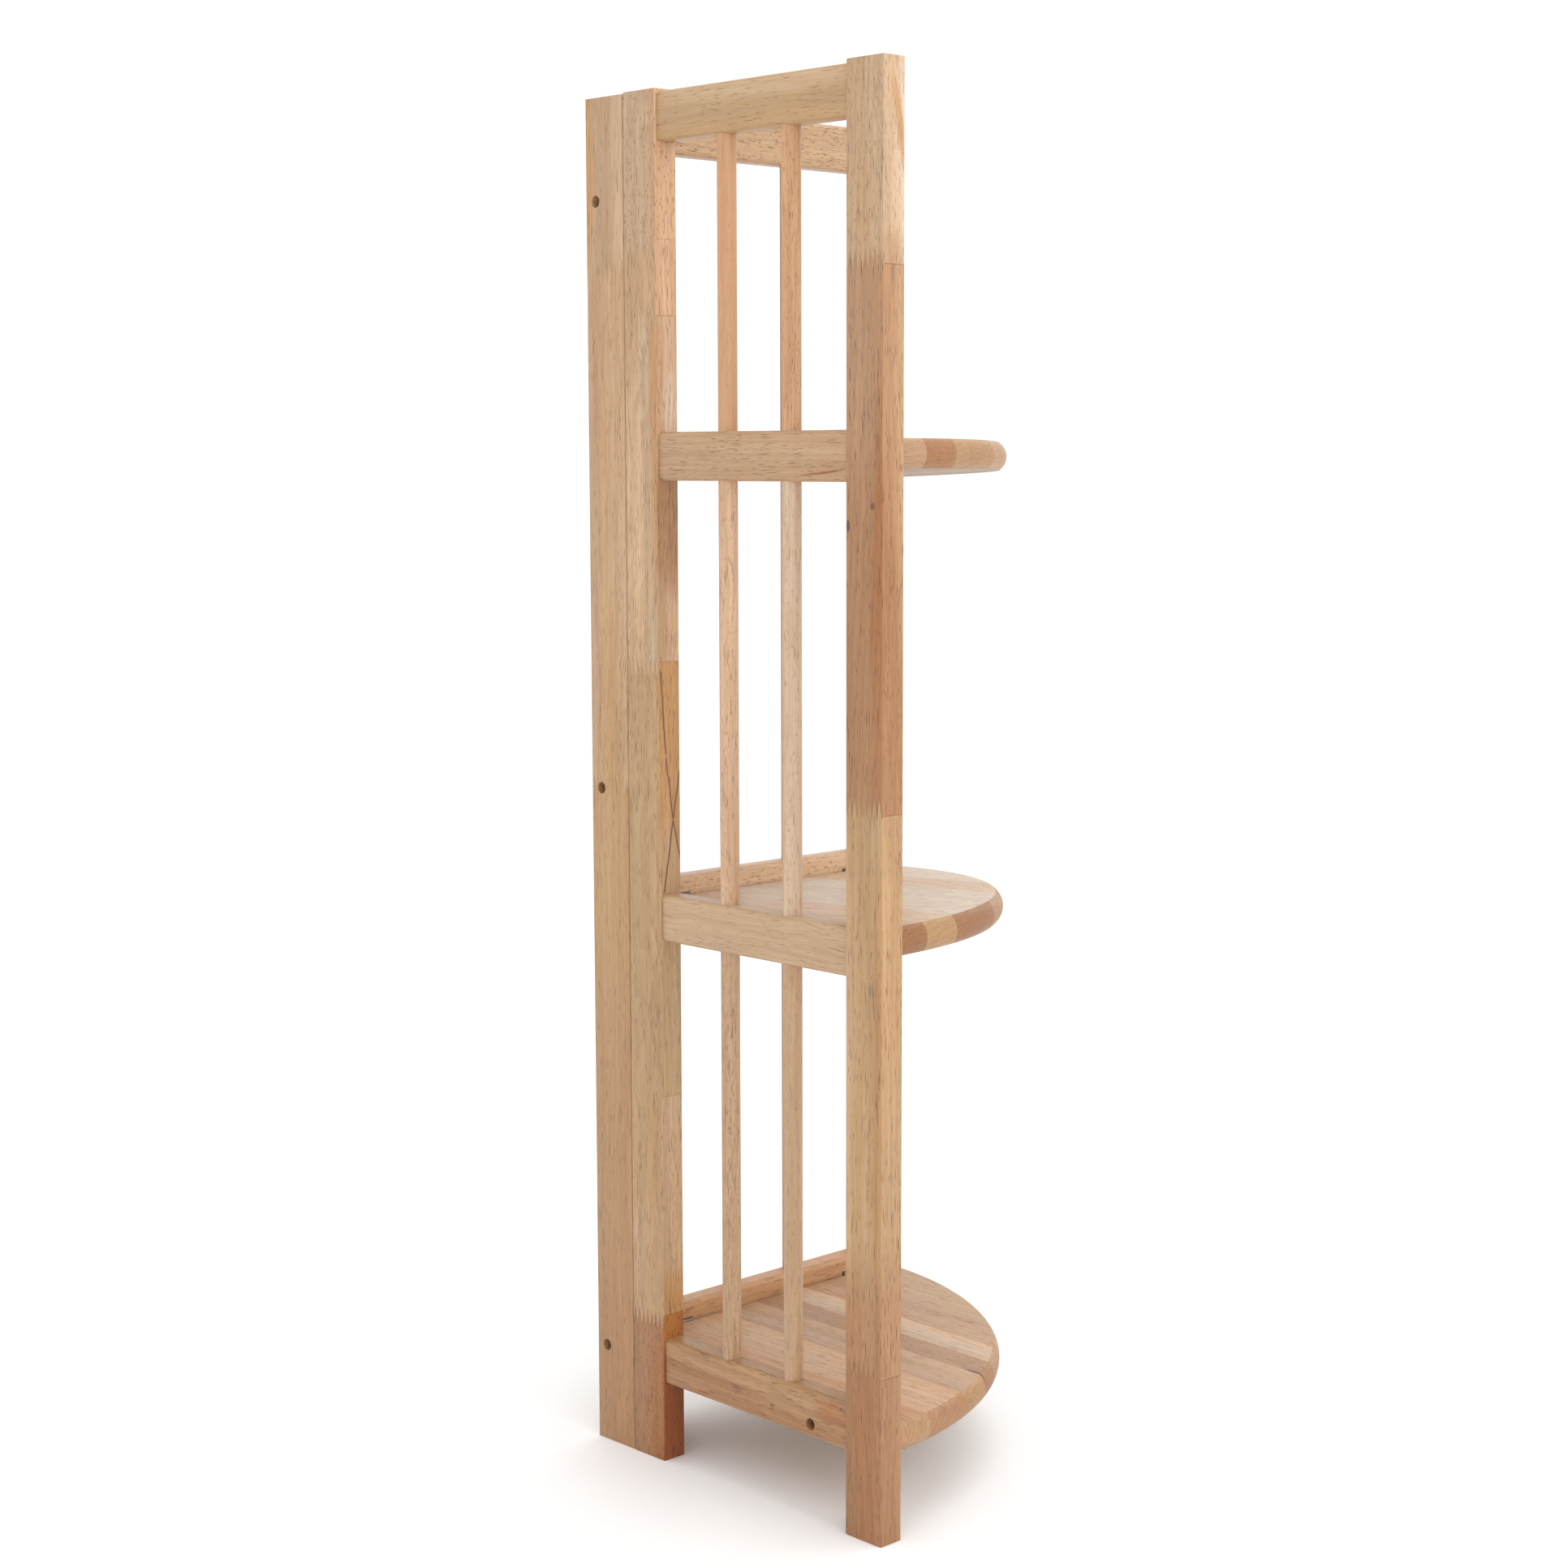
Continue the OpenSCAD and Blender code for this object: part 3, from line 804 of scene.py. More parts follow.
@dataclass(frozen=True)
class Beech:
    """Bare beech of the glued dowels, with short dark rays; its colours are 8-bit sRGB."""

    name: str
    light: tuple[int, int, int] = (205, 166, 122)
    dark: tuple[int, int, int] = (176, 132, 90)
    ray: tuple[int, int, int] = (140, 92, 56)

    def material(self) -> bpy.types.Material:
        """Builds the material of the dowels, whose grain runs along X and Y alike.

        Returns:
            The material.
        """
        graph = Graph(self.name)
        point = graph.object_point()
        rays, chance = graph.cells(point, (1 / 260, 1 / 260, 1 / 1100))
        rays = rays.steps(0.26, 0.1) * chance[0]
        streak = graph.noise(point, (30, 30, 700), 2.0)
        light, dark, ray = (linear_colour(colour) for colour in (self.light, self.dark, self.ray))
        colour = graph.mix(graph.mix(light, dark, streak.steps(0.35, 0.7)), ray, rays * 0.6)
        normal = graph.relief(streak, 0.2, 0.1 * MM)
        return graph.finish({"Base Color": colour, "Roughness": 0.62 + rays * 0.1, "Normal": normal})


@dataclass(frozen=True)
class ZincSteel:
    """Zinc-plated steel: fine drawing marks, dull patches and bright crystals.

    Attributes:
        name: Name of the material.
        marks: The direction across its drawing marks.
        base: Its colour in 8-bit sRGB, as are the next two.
        dull: The colour of its dull patches.
        bright: The colour of its brightest crystals.
    """

    name: str
    marks: Axis
    base: tuple[int, int, int] = (150, 148, 144)
    dull: tuple[int, int, int] = (150, 146, 138)
    bright: tuple[int, int, int] = (206, 200, 184)

    def material(self) -> bpy.types.Material:
        """Builds the material.

        Returns:
            Steel whose colour, roughness and relief follow its marks, patches and crystals.
        """
        graph = Graph(self.name)
        point = graph.object_point()
        drawn = graph.noise(point, [9000 if axis == self.marks else 700 for axis in Axis], 2.0, 0.6)
        dull = graph.noise(point, (420, 420, 420), 3.0, 0.6)
        crystals, chance = graph.cells(point, (1 / 900, 1 / 900, 1 / 900))
        base, patch, bright = (linear_colour(colour) for colour in (self.base, self.dull, self.bright))
        colour = graph.mix(base, patch, dull.steps(0.42, 0.72) * 0.6)
        inputs = {
            "Base Color": graph.mix(colour, bright, chance[0] * 0.18),
            "Metallic": 1.0,
            "Roughness": 0.38 + dull * 0.18 + drawn * 0.06,
            "Normal": graph.relief(drawn * 0.6 + crystals * 0.2, 0.15, 0.03 * MM),
        }
        return graph.finish(inputs)


@dataclass(frozen=True)
class Surface:
    """A closed surface: rows of points, each row a ring, with the first and last ring capped."""

    points: np.ndarray

    def moved(self, matrix: Matrix) -> "Surface":
        """The surface carried by a 4 by 4 matrix that turns and shifts it."""
        array = np.array(matrix)
        return Surface(self.points @ array[:3, :3].T + array[:3, 3])


def build(name: str, surfaces: Iterable[Surface]) -> bpy.types.Object:
    """Puts surfaces into one mesh object.

    Each cell of a surface's grid becomes a four-sided face, and each end ring a cap.

    Args:
        name: The object's name.
        surfaces: The closed surfaces.

    Returns:
        The linked object.
    """
    corners, faces, start = [], [], 0
    for surface in surfaces:
        rows, columns, _ = surface.points.shape
        ids = start + np.arange(rows * columns).reshape(rows, columns)
        here, there = ids[:-1], ids[1:]
        cells = np.stack([here, np.roll(here, -1, 1), np.roll(there, -1, 1), there], -1)
        faces += cells.reshape(-1, 4).tolist() + [ids[0, ::-1].tolist(), ids[-1].tolist()]
        corners.append(surface.points.reshape(-1, 3))
        start += rows * columns
    mesh = bpy.data.meshes.new(name)
    mesh.from_pydata(np.concatenate(corners).tolist(), [], faces)
    mesh.shade_smooth()
    mesh.set_sharp_from_angle(angle=SHARP)
    made = bpy.data.objects.new(name, mesh)
    bpy.context.scene.collection.objects.link(made)
    return made


def circle(columns: int) -> np.ndarray:
    """Angles once round a circle, as one row."""
    return np.linspace(0, 2 * math.pi, columns, endpoint=False)[None]


def easing(ease: float, rows: int) -> tuple[np.ndarray, np.ndarray]:
    """How far each row of an end that runs out in a quarter circle is drawn in, and its distance."""
    # Ease times (1 - sin) and ease times (1 - cos) of an angle that goes from 0 to 90 degrees
    angles = np.linspace(0, QUARTER, rows)
    return ease * (1 - np.sin(angles)), ease * (1 - np.cos(angles))


def eased_bar(low: np.ndarray, high: np.ndarray, axis: Axis, edge: float, end: float) -> Surface:
    """A bar with rounded long edges and eased ends.

    The section is a rectangle whose corners are quarter circles. It is carried along the axis, and at
    both ends it is drawn in by the easing.

    Args:
        low: The bar's lowest corner.
        high: Its highest corner.
        axis: The direction of its length.
        edge: Radius of the long edges.
        end: Radius of the end edges.

    Returns:
        The bar.
    """
    end_rows, corner_columns, least_radius = 7, 9, 0.05 * MM
    shift = (axis.value + 1) % 3
    size = np.roll(high - low, -shift)
    inset, advance = easing(end, end_rows)
    inset = np.concatenate([inset, inset[::-1]])[:, None]
    level = np.concatenate([advance, size[2] - advance[::-1]])[:, None]
    radius = np.maximum(edge - inset, least_radius)
    turn = np.concatenate([k * QUARTER + np.linspace(0, QUARTER, corner_columns) for k in range(4)])
    side_x = np.repeat([1, -1, -1, 1], corner_columns)
    side_y = np.repeat([1, 1, -1, -1], corner_columns)
    x = side_x * (size[0] / 2 - inset - radius) + radius * np.cos(turn)
    y = side_y * (size[1] / 2 - inset - radius) + radius * np.sin(turn)
    z = np.broadcast_to(level, x.shape) - size[2] / 2
    return Surface(np.roll(np.stack([x, y, z], -1), shift, -1) + (low + high) / 2)


def turned(radius: np.ndarray, height: np.ndarray, columns: int) -> Surface:
    """A turned piece on Z: the radius of each row, or row and point, carried round at its height."""
    radius, height, around = np.broadcast_arrays(radius, height, circle(columns))
    return Surface(np.stack([radius * np.cos(around), radius * np.sin(around), height], -1))


def rod(diameter: float, length: float, ease: float, flutes: int = 0, groove: float = 0.0) -> Surface:
    """A rod on Z with eased ends and, on a dowel, grooves along it.

    The radius falls by the easing at both ends. Grooves take off groove times the square of the
    cosine of half their number times the angle round the rod.

    Args:
        diameter: The rod's diameter.
        length: Its length, from 0 up.
        ease: Radius of its end edges.
        flutes: Number of grooves.
        groove: Depth of a groove.

    Returns:
        The rod.
    """
    end_rows, inner_rows = 5, 12
    columns = flutes * 6 if flutes else 48
    inset, advance = easing(ease, end_rows)
    inner = np.linspace(2 * ease, length - 2 * ease, inner_rows)
    height = np.concatenate([advance, inner, length - advance[::-1]])[:, None]
    radius = diameter / 2 - np.concatenate([inset, 0 * inner, inset[::-1]])[:, None]
    return turned(radius - groove * np.cos(circle(columns) * flutes / 2) ** 2, height, columns)


@dataclass(frozen=True)
class WoodScrew:
    """A wood screw along -Z with its head's face at 0 and a cross recess.

    Attributes:
        shank: Outer diameter of the thread.
        head: Diameter of the head.
        length: Overall length.
        countersunk: Whether the head is a cone under its face, or a flat cheese head.
        head_height: Height of a cheese head.
        pitch: Rise of the thread in one turn.
    """

    shank: float
    head: float
    length: float
    countersunk: bool = True
    head_height: float = 0.0
    pitch: float = 1.1 * MM

    columns = 40
    rows_a_turn = 6
    core = 0.68
    # Radii of the rings of points on the head's face, as shares of its own, and its rim's fall
    face_rings = (0.02, 0.1, 0.16, 0.22, 0.28, 0.34, 0.42, 0.5, 0.56, 0.62, 0.8, 0.94, 1.0)
    rim_fall = 0.08 * MM
    rim_height = 0.22 * MM

    def surface(self) -> Surface:
        """Builds the screw.

        The head's face dips by a cross: inside both arms' width and length the depth is full, with
        short ramps at their edges. The thread is a ridge whose height above the core is a triangle
        wave of the height divided by the pitch less the share of a turn.

        Returns:
            The screw's surface.
        """
        around = circle(self.columns)
        head, shank = self.head / 2, self.shank / 2
        neck = head - shank if self.countersunk else self.head_height
        face_r = head * np.array(self.face_rings)[:, None] + 0 * around
        face_z = -self.recess(face_r, around) - np.where(face_r > 0.97 * head, self.rim_fall, 0.0)
        under_r = np.array([head, shank if self.countersunk else head, shank])[:, None] + 0 * around
        under_z = [-self.rim_height, -neck if self.countersunk else -neck + 0.02 * MM, -neck - 0.05 * MM]
        rows = max(int((self.length - neck) / self.pitch * self.rows_a_turn), 12)
        level = np.linspace(-neck - 0.2 * MM, -self.length, rows)[:, None]
        wave = np.abs((level / self.pitch - around / (2 * math.pi)) % 1.0 - 0.5) * 2
        ridge = np.clip(1.6 * wave - 0.6, 0, 1)
        tip = np.clip((level + self.length) / self.shank, 0.02, 1.0)
        thread_r = shank * (self.core + (1 - self.core) * ridge) * tip
        radius = np.concatenate([face_r, under_r, thread_r])
        height = np.concatenate([face_z, np.array(under_z)[:, None] + 0 * around, level + 0 * around])
        return turned(radius[::-1], height[::-1], self.columns)

    def recess(self, radius: np.ndarray, around: np.ndarray) -> np.ndarray:
        """Depth of the cross recess at points of the head's face.

        Args:
            radius: Distance from the head's centre.
            around: Angle round the head.

        Returns:
            The depth, 0 outside the cross.
        """
        x, y = np.abs(radius * np.cos(around)), np.abs(radius * np.sin(around))
        near, far = np.minimum(x, y), np.maximum(x, y)
        width, reach, ramp, depth = (share * self.head for share in (0.10, 0.30, 0.05, 0.24))
        arm = np.clip((width - near) / ramp, 0, 1) * np.clip((reach - far) / ramp, 0, 1)
        return depth * arm * (1 - 0.6 * far / reach)


def dress(made: bpy.types.Object, finish: bpy.types.Material) -> None:
    """Gives a piece its finish.

    Args:
        made: A new piece or a CAD node's object.
        finish: The material.
    """
    made.data.materials.clear()
    made.data.materials.append(finish)


def stand_in(
    name: str, surfaces: Iterable[Surface], finish: bpy.types.Material, node: str
) -> None:
    """Builds a piece that takes a CAD node's place and rides on its body.

    Args:
        name: The piece's name.
        surfaces: Its closed surfaces.
        finish: Its material.
        node: The CAD node that it stands for.
    """
    made = build(name, surfaces)
    dress(made, finish)
    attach(made, frame["nodes"][node]["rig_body"])
    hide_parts(node)
    log.info("%s stands for %s with %d faces", name, node, len(made.data.polygons))


def keep(node: str, finish: bpy.types.Material) -> None:
    """Keeps a CAD node's shape and gives it a finish."""
    dress(frame["nodes"][node], finish)
    log.info("%s keeps its shape with %s", node, finish.name)


def corners_of(node: str) -> tuple[np.ndarray, np.ndarray]:
    """Lowest and highest corner of a CAD node as arrays."""
    low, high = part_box(node)
    return np.array(low), np.array(high)


@dataclass
class CornerStrip:
    """The flat strip that closes the corner and carries the fold hinges."""

    wood: Rubberwood = Rubberwood(
        "corner_strip_wood",
        Axis.Z,
        Axis.X,
        tones("SAND BLOND BLOND"),
        (0.5, 0.872),
        seed=3.1,
        figure=0.6,
        pores=0.8,
        stains=stains(
            ("STRAW", 0, -130, 500, 60, 200, 0.9),
            ("FAWN", 0, -130, 0, 60, 160, 0.6),
            ("STRAW", 1, -125, 500, 18, 160, 0.9),
            ("AMBER", 2, -150, 960, 10, 110, 0.8),
            ("CREAM", 2, -112, 950, 12, 120, 0.6),
            ("PALE", 1, -116, 750, 14, 220, 0.7),
        ),
    )

    def build(self) -> None:
        """Keeps the strip's shape, with its counterbores, and gives it pale blocks."""
        keep("corner_strip", self.wood.material())


@dataclass
class SideFrame:
    """A ladder frame: two posts, four rails, six spindles and the dowels of its rails.

    Attributes:
        side: The frame's name, left or right.
        run: The direction in which its rails run.
        woods: The finish of each post and rail.
        replaced: Rails that get a smoother bar in place of their CAD shape.
        spindle_tones: Tone of each spindle, from the upper bay down, rear first.
        spindle_figures: Strength of each spindle's figure, in the same order.
    """

    side: str
    run: Axis
    woods: Mapping[str, Rubberwood]
    replaced: tuple[str, ...]
    spindle_tones: tuple[Tone, ...]
    spindle_figures: tuple[float, ...]
    post_edge: float = 1.2 * MM
    post_end: float = 0.9 * MM
    rail_edge: float = 4.0 * MM
    rail_end: float = 0.3 * MM
    spindle_d: float = 13.6 * MM
    spindle_end: float = 0.8 * MM
    dowel_d: float = 6.0 * MM
    dowel_l: float = 30.0 * MM
    dowel_end: float = 0.7 * MM
    dowel_flutes: int = 12
    dowel_groove: float = 0.25 * MM

    def build(self) -> None:
        """Builds the frame's pieces."""
        self.build_bars()
        self.build_spindles()
        self.build_dowels()

    def build_bars(self) -> None:
        """Posts with eased ends, and rails, new where nothing is cut into them."""
        for short, wood in self.woods.items():
            node = f"{self.side}_{short}"
            low, high = corners_of(node)
            if short.endswith("post"):
                bar = eased_bar(low, high, Axis.Z, self.post_edge, self.post_end)
                stand_in(f"{node}_eased", [bar], wood.material(), node)
            elif short in self.replaced:
                bar = eased_bar(low, high, self.run, self.rail_edge, self.rail_end)
                stand_in(f"{node}_eased", [bar], wood.material(), node)
            else:
                keep(node, wood.material())

    def build_spindles(self) -> None:
        """Each spindle as a rod of its own, because each is cut from another board."""
        woods = zip(self.spindle_tones, self.spindle_figures)
        for bay in ("upper", "middle", "lower"):
            node = f"{self.side}_{bay}_spindles"
            low, high = corners_of(node)
            shape = rod(self.spindle_d, high[2] - low[2], self.spindle_end)
            for end, inward, name in ((low, 1, "rear"), (high, -1, "front")):
                foot = (low + high) / 2
                foot[self.run.value] = end[self.run.value] + inward * self.spindle_d / 2
                foot[2] = low[2]
                piece = f"{self.side}_{bay}_spindle_{name}"
                tone, figure = next(woods)
                wood = Rubberwood(
                    f"{piece}_wood",
                    Axis.Z,
                    self.run,
                    (tone,),
                    seed=float(sum(map(ord, piece)) % 97),
                    figure=figure,
                    pores=figure,
                    flecks=0.5 * figure,
                    contrast=0.5 + 0.3 * figure,
                )
                placed = shape.moved(Matrix.Translation(foot))
                stand_in(piece, [placed], wood.material(), node)

    def build_dowels(self) -> None:
        """The grooved dowels, two at each rail end, as far apart as the lowest pair."""
        node = f"{self.side}_rail_dowels"
        turn = Matrix.Rotation(QUARTER, 4, "Y" if self.run == Axis.X else "X")
        blank = rod(self.dowel_d, self.dowel_l, self.dowel_end, self.dowel_flutes, self.dowel_groove)
        blank = blank.moved(turn @ Matrix.Translation((0, 0, -self.dowel_l / 2)))
        rails = [corners_of(f"{self.side}_{rail}_rail") for rail in ("bottom", "middle", "upper", "top")]
        lowest = corners_of(node)[0][2] + self.dowel_d / 2
        half_pitch = (rails[0][0][2] + rails[0][1][2]) / 2 - lowest
        dowels = []
        for rail in rails:
            for end in rail:
                for up in (-1, 1):
                    place = (rail[0] + rail[1]) / 2
                    place[self.run.value] = end[self.run.value]
                    place[2] += up * half_pitch
                    dowels.append(blank.moved(Matrix.Translation(place)))
        stand_in(f"{node}_grooved", dowels, Beech(f"{self.side}_beech").material(), node)


def upright_turn(joint: Mapping[str, Any]) -> float:
    """How far a shelf leans up at rest: what its joint's range is short of a right angle."""
    return 90.0 - joint["range_deg"][1]


@dataclass
class Shelf:
    """A quarter-round shelf of staves that are glued edge to edge.

    Attributes:
        tier: The shelf's name: bottom, middle or upper.
        seed: Starting number of the staves' figure.
        seams: Where one stave ends and the next one starts, along Y.
        staves: The staves' tones from the left frame outwards.
        rim: Their tones on the rim, where they are cut across the fibres.
        contrast: Strength of the bands and fibres.
        open_seam: Place of the seam that has opened to a hairline, or none.
        knots: Knots in its top.
    """

    tier: str
    seed: float
    seams: tuple[float, ...]
    staves: tuple[Tone, ...]
    rim: tuple[Tone, ...]
    contrast: float
    open_seam: float | None = None
    knots: tuple[Knot, ...] = ()

    def build(self) -> None:
        """Keeps the shelf's shape, with its hinge notches, and gives it the finish of its staves."""
        joint = next(j for j in frame["joints"] if j["name"] == f"{self.tier}_shelf_fold")
        wood = Rubberwood(
            f"{self.tier}_shelf_wood",
            Axis.X,
            Axis.Y,
            self.staves,
            self.seams,
            self.rim,
            jointed=Axis.Y,
            seed=self.seed,
            contrast=self.contrast,
            open_seam=self.open_seam,
            knots=self.knots,
            glue=0.35,
            # Painted shade on the shelf's underside, at full strength
            painted_underside_shade=1.0,
            coat=0.12,
            lean=upright_turn(joint),
            hinge=tuple(joint["pos_m"]),
        )
        keep(f"{self.tier}_shelf", wood.material())


@dataclass(frozen=True)
class ButtHinge:
    """The pin and the screws of a butt hinge whose pin stands on Z, from 0 up.

    Attributes:
        length: Length of hinge and pin.
        pin_d: Diameter of the pin.
        screw: The screw in each hole of its leaves.
        screw_out: Distance of the screws from the pin.
        screw_pitch: Distance between a leaf's two screws.
        screw_face: How far the faces of the screw heads are from the pin, towards the wood.
    """

    length: float
    pin_d: float
    screw: WoodScrew
    screw_out: float
    screw_pitch: float
    screw_face: float
    pin_end: float = 0.3 * MM

    def pin(self, place: Matrix) -> Surface:
        """The pin of the hinge that is carried to this place, with eased ends."""
        return rod(self.pin_d, self.length, self.pin_end).moved(place)

    def screws(self, place: Matrix, side: int, way: int) -> list[Surface]:
        """The two screws of one leaf.

        Args:
            place: Where the hinge is.
            side: 1 for a leaf on the side of +X and -1 for one on the side of -X.
            way: 1 for screws that point to +Y and -1 for screws that point to -Y.

        Returns:
            The screws.
        """
        made = []
        for end in (-1, 1):
            level = (self.length + end * self.screw_pitch) / 2
            seat = Matrix.Translation((side * self.screw_out, way * self.screw_face, level))
            turn = Matrix.Rotation(way * QUARTER, 4, "X")
            made.append(self.screw.surface().moved(place @ seat @ turn))
        return made


@dataclass
class ShelfHinges:
    """The two butt hinges of each shelf, their pins and their screws."""

    hinge: ButtHinge = ButtHinge(
        length=21.0 * MM,
        pin_d=1.6 * MM,
        screw=WoodScrew(2.4 * MM, 4.2 * MM, 12.0 * MM),
        screw_out=6.5 * MM,
        screw_pitch=21.0 * 0.56 * MM,
        screw_face=0.05 * MM,
    )

    def build(self) -> None:
        """Dresses the leaves and builds pins and screws; a shelf's own leaves lean with it."""
        steel = ZincSteel("hinge_steel", Axis.Y, (126, 116, 108)).material()
        bright = ZincSteel("screw_steel", Axis.X, (198, 196, 188)).material()
        keep("shelf_hinge_rail_leaves", steel)
        hanging = Matrix.Rotation(-QUARTER, 4, "X") @ Matrix.Rotation(QUARTER, 4, "Z")
        pins, rail_screws = [], []
        for joint in frame["joints"]:
            tier = joint["name"].removesuffix("_shelf_fold")
            keep(f"{tier}_shelf_leaves", steel)
            low, high = corners_of(f"{tier}_shelf_leaves")
            lean = Matrix.Rotation(-math.radians(upright_turn(joint)), 4, "Y")
            shelf_screws = []
            for y in (low[1], high[1] - self.hinge.length):
                place = Matrix.Translation((joint["pos_m"][0], y, joint["pos_m"][2]))
                pins.append(self.hinge.pin(place @ hanging))
                rail_screws += self.hinge.screws(place @ hanging, 1, 1)
                shelf_screws += self.hinge.screws(place @ lean @ hanging, 1, -1)
            node = f"{tier}_shelf_screws"
            stand_in(f"{node}_threaded", shelf_screws, bright, node)
        stand_in("shelf_hinge_pins_eased", pins, steel, "shelf_hinge_pins")
        node = "shelf_hinge_rail_screws"
        stand_in(f"{node}_threaded", rail_screws, bright, node)


@dataclass
class FoldHinges:
    """The butt hinges between the corner strip and the left frame, inside the corner."""

    hinge: ButtHinge = ButtHinge(
        length=30.0 * MM,
        pin_d=2.4 * MM,
        screw=WoodScrew(3.0 * MM, 5.4 * MM, 14.0 * MM, pitch=1.3 * MM),
        screw_out=9.6 * MM,
        screw_pitch=30.0 * 0.56 * MM,
        screw_face=1.3 * MM,
    )
    count: int = 3

    def build(self) -> None:
        """Dresses the leaves and builds pins and screws."""
        steel = ZincSteel("fold_hinge_steel", Axis.Z).material()
        bright = ZincSteel("fold_screw_steel", Axis.X, (198, 196, 188)).material()
        keep("fold_hinge_strip_leaves", steel)
        keep("fold_hinge_frame_leaves", steel)
        low, high = corners_of("fold_hinge_pins")
        centre = (low + high) / 2
        pins, screws = [], []
        for z in np.linspace(low[2], high[2] - self.hinge.length, self.count):
            place = Matrix.Translation((centre[0], centre[1], z))
            pins.append(self.hinge.pin(place))
            for side in (-1, 1):
                screws += self.hinge.screws(place, side, -1)
        stand_in("fold_hinge_pins_eased", pins, steel, "fold_hinge_pins")
        stand_in("fold_hinge_screws_threaded", screws, bright, "fold_hinge_screws")


@dataclass
class CornerScrews:
    """The screws that hold the corner strip to the right rear post, deep in their counterbores."""

    screw: WoodScrew = WoodScrew(4.0 * MM, 7.6 * MM, 35.0 * MM, False, 2.6 * MM, 1.8 * MM)
    count: int = 3

    def build(self) -> None:
        """Builds the screws with their heads on the counterbores' floors."""
        low, high = corners_of("corner_screws")
        head = self.screw.head / 2
        screws = []
        for z in np.linspace(low[2] + head, high[2] - head, self.count):
            place = Matrix.Translation(((low[0] + high[0]) / 2, low[1], z))
            screws.append(self.screw.surface().moved(place @ Matrix.Rotation(QUARTER, 4, "X")))
        steel = ZincSteel("corner_screw_steel", Axis.Z, (206, 176, 140)).material()
        stand_in("corner_screws_threaded", screws, steel, "corner_screws")


@dataclass(frozen=True)
class SoftBox:
    """A square soft light at a place, with its width and its power in watts."""

    name: str
    place: tuple[float, float, float]
    size: float
    watts: float


@dataclass
class Studio:
    """The pale floor, the soft light and the camera.

    Attributes:
        eye: Where the photograph was taken from.
        azimuth_deg: The camera's turn to the left from looking along Y.
        tilt_deg: How far it looks down.
        roll_deg: How far it is tipped to the side.
        focal_px: Its focal length in the photograph's pixels.
        image_px: The photograph's width.
        sensor_mm: Width of Blender's sensor.
        aim: The point that the soft boxes look at.
        room_light: Strength of the white room's light.
        boxes: The soft boxes.
        floor_radii: Radii of the floor's rings, from the centre out.
        floor_thickness: Its thickness.
    """

    eye: tuple[float, float, float] = (1.38840, -1.42003, 0.74088)
    azimuth_deg: float = 46.374
    tilt_deg: float = 6.911
    roll_deg: float = -0.132
    focal_px: float = 3335.6
    image_px: int = 1932
    sensor_mm: float = 36.0
    aim: tuple[float, float, float] = (0.0, 0.0, 0.5)
    room_light: float = 1.1
    boxes: tuple[SoftBox, ...] = (
        SoftBox("key_box", (1.95, -0.1, 1.35), 0.9, 8.5),
        SoftBox("top_box", (0.3, 0.4, 2.8), 1.6, 15.0),
        SoftBox("front_box", (1.9, -1.2, 1.1), 0.8, 5.0),
    )
    floor_radii: tuple[float, ...] = (0.001, 0.5, 1.5, 6.0)
    floor_thickness: float = 0.02

    def build(self) -> None:
        """Builds camera, light and floor."""
        bpy.context.scene.view_settings.view_transform = "Standard"
        self.build_camera()
        self.build_light()
        self.build_floor()

    def build_camera(self) -> None:
        """Places the camera where the photograph was taken from."""
        azimuth, tilt, roll = (math.radians(v) for v in (self.azimuth_deg, self.tilt_deg, self.roll_deg))
        level = Vector((-math.sin(azimuth), math.cos(azimuth), 0.0))
        forward = level * math.cos(tilt) - Vector((0.0, 0.0, math.sin(tilt)))
        right = Vector((math.cos(azimuth), math.sin(azimuth), 0.0))
        up = right.cross(forward)
        tipped_right = math.cos(roll) * right + math.sin(roll) * up
        tipped_up = -math.sin(roll) * right + math.cos(roll) * up
        turn = Matrix((tipped_right, tipped_up, -forward)).transposed().to_4x4()
        data = bpy.data.cameras.new("photo_camera")
        data.sensor_width = self.sensor_mm
        data.lens = self.focal_px / self.image_px * self.sensor_mm
        bpy.context.scene.camera = self.link("photo_camera", data, Matrix.Translation(self.eye) @ turn)

    def build_light(self) -> None:
        """A white world and large soft boxes."""
        world = bpy.data.worlds.new("white_room")
        world.use_nodes = True
        background = world.node_tree.nodes["Background"]
        background.inputs["Color"].default_value = (1.0, 1.0, 1.0, 1.0)
        background.inputs["Strength"].default_value = self.room_light
        bpy.context.scene.world = world
        for box in self.boxes:
            data = bpy.data.lights.new(box.name, "AREA")
            data.energy = box.watts
            data.size = box.size
            turn = (Vector(self.aim) - Vector(box.place)).to_track_quat("-Z", "Y").to_matrix().to_4x4()
            self.link(box.name, data, Matrix.Translation(box.place) @ turn)

    def link(self, name: str, data: bpy.types.ID, place: Matrix) -> bpy.types.Object:
        """Puts a camera or a light into the scene.

        Args:
            name: Its object's name.
            data: The camera or the light.
            place: Where it stands and how it is turned.

        Returns:
            Its object.
        """
        made = bpy.data.objects.new(name, data)
        made.matrix_world = place
        bpy.context.scene.collection.objects.link(made)
        return made

    def build_floor(self) -> None:
        """A round pale floor: rings of points from the centre out, flat at the shelf's feet."""
        radius = np.array([*self.floor_radii, self.floor_radii[-1], self.floor_radii[0]])
        height = np.repeat([0.0, -self.floor_thickness], [len(self.floor_radii), 2])
        floor = build("pale_floor", [turned(radius[::-1, None], height[::-1, None], 96)])
        graph = Graph("pale_floor_paint")
        grain = graph.noise(graph.object_point(), (60, 60, 60), 3.0)
        colour = graph.mix((0.96, 0.96, 0.96, 1), (0.94, 0.94, 0.94, 1), grain)
        floor.data.materials.append(graph.finish({"Base Color": colour, "Roughness": 0.7 + grain * 0.1}))


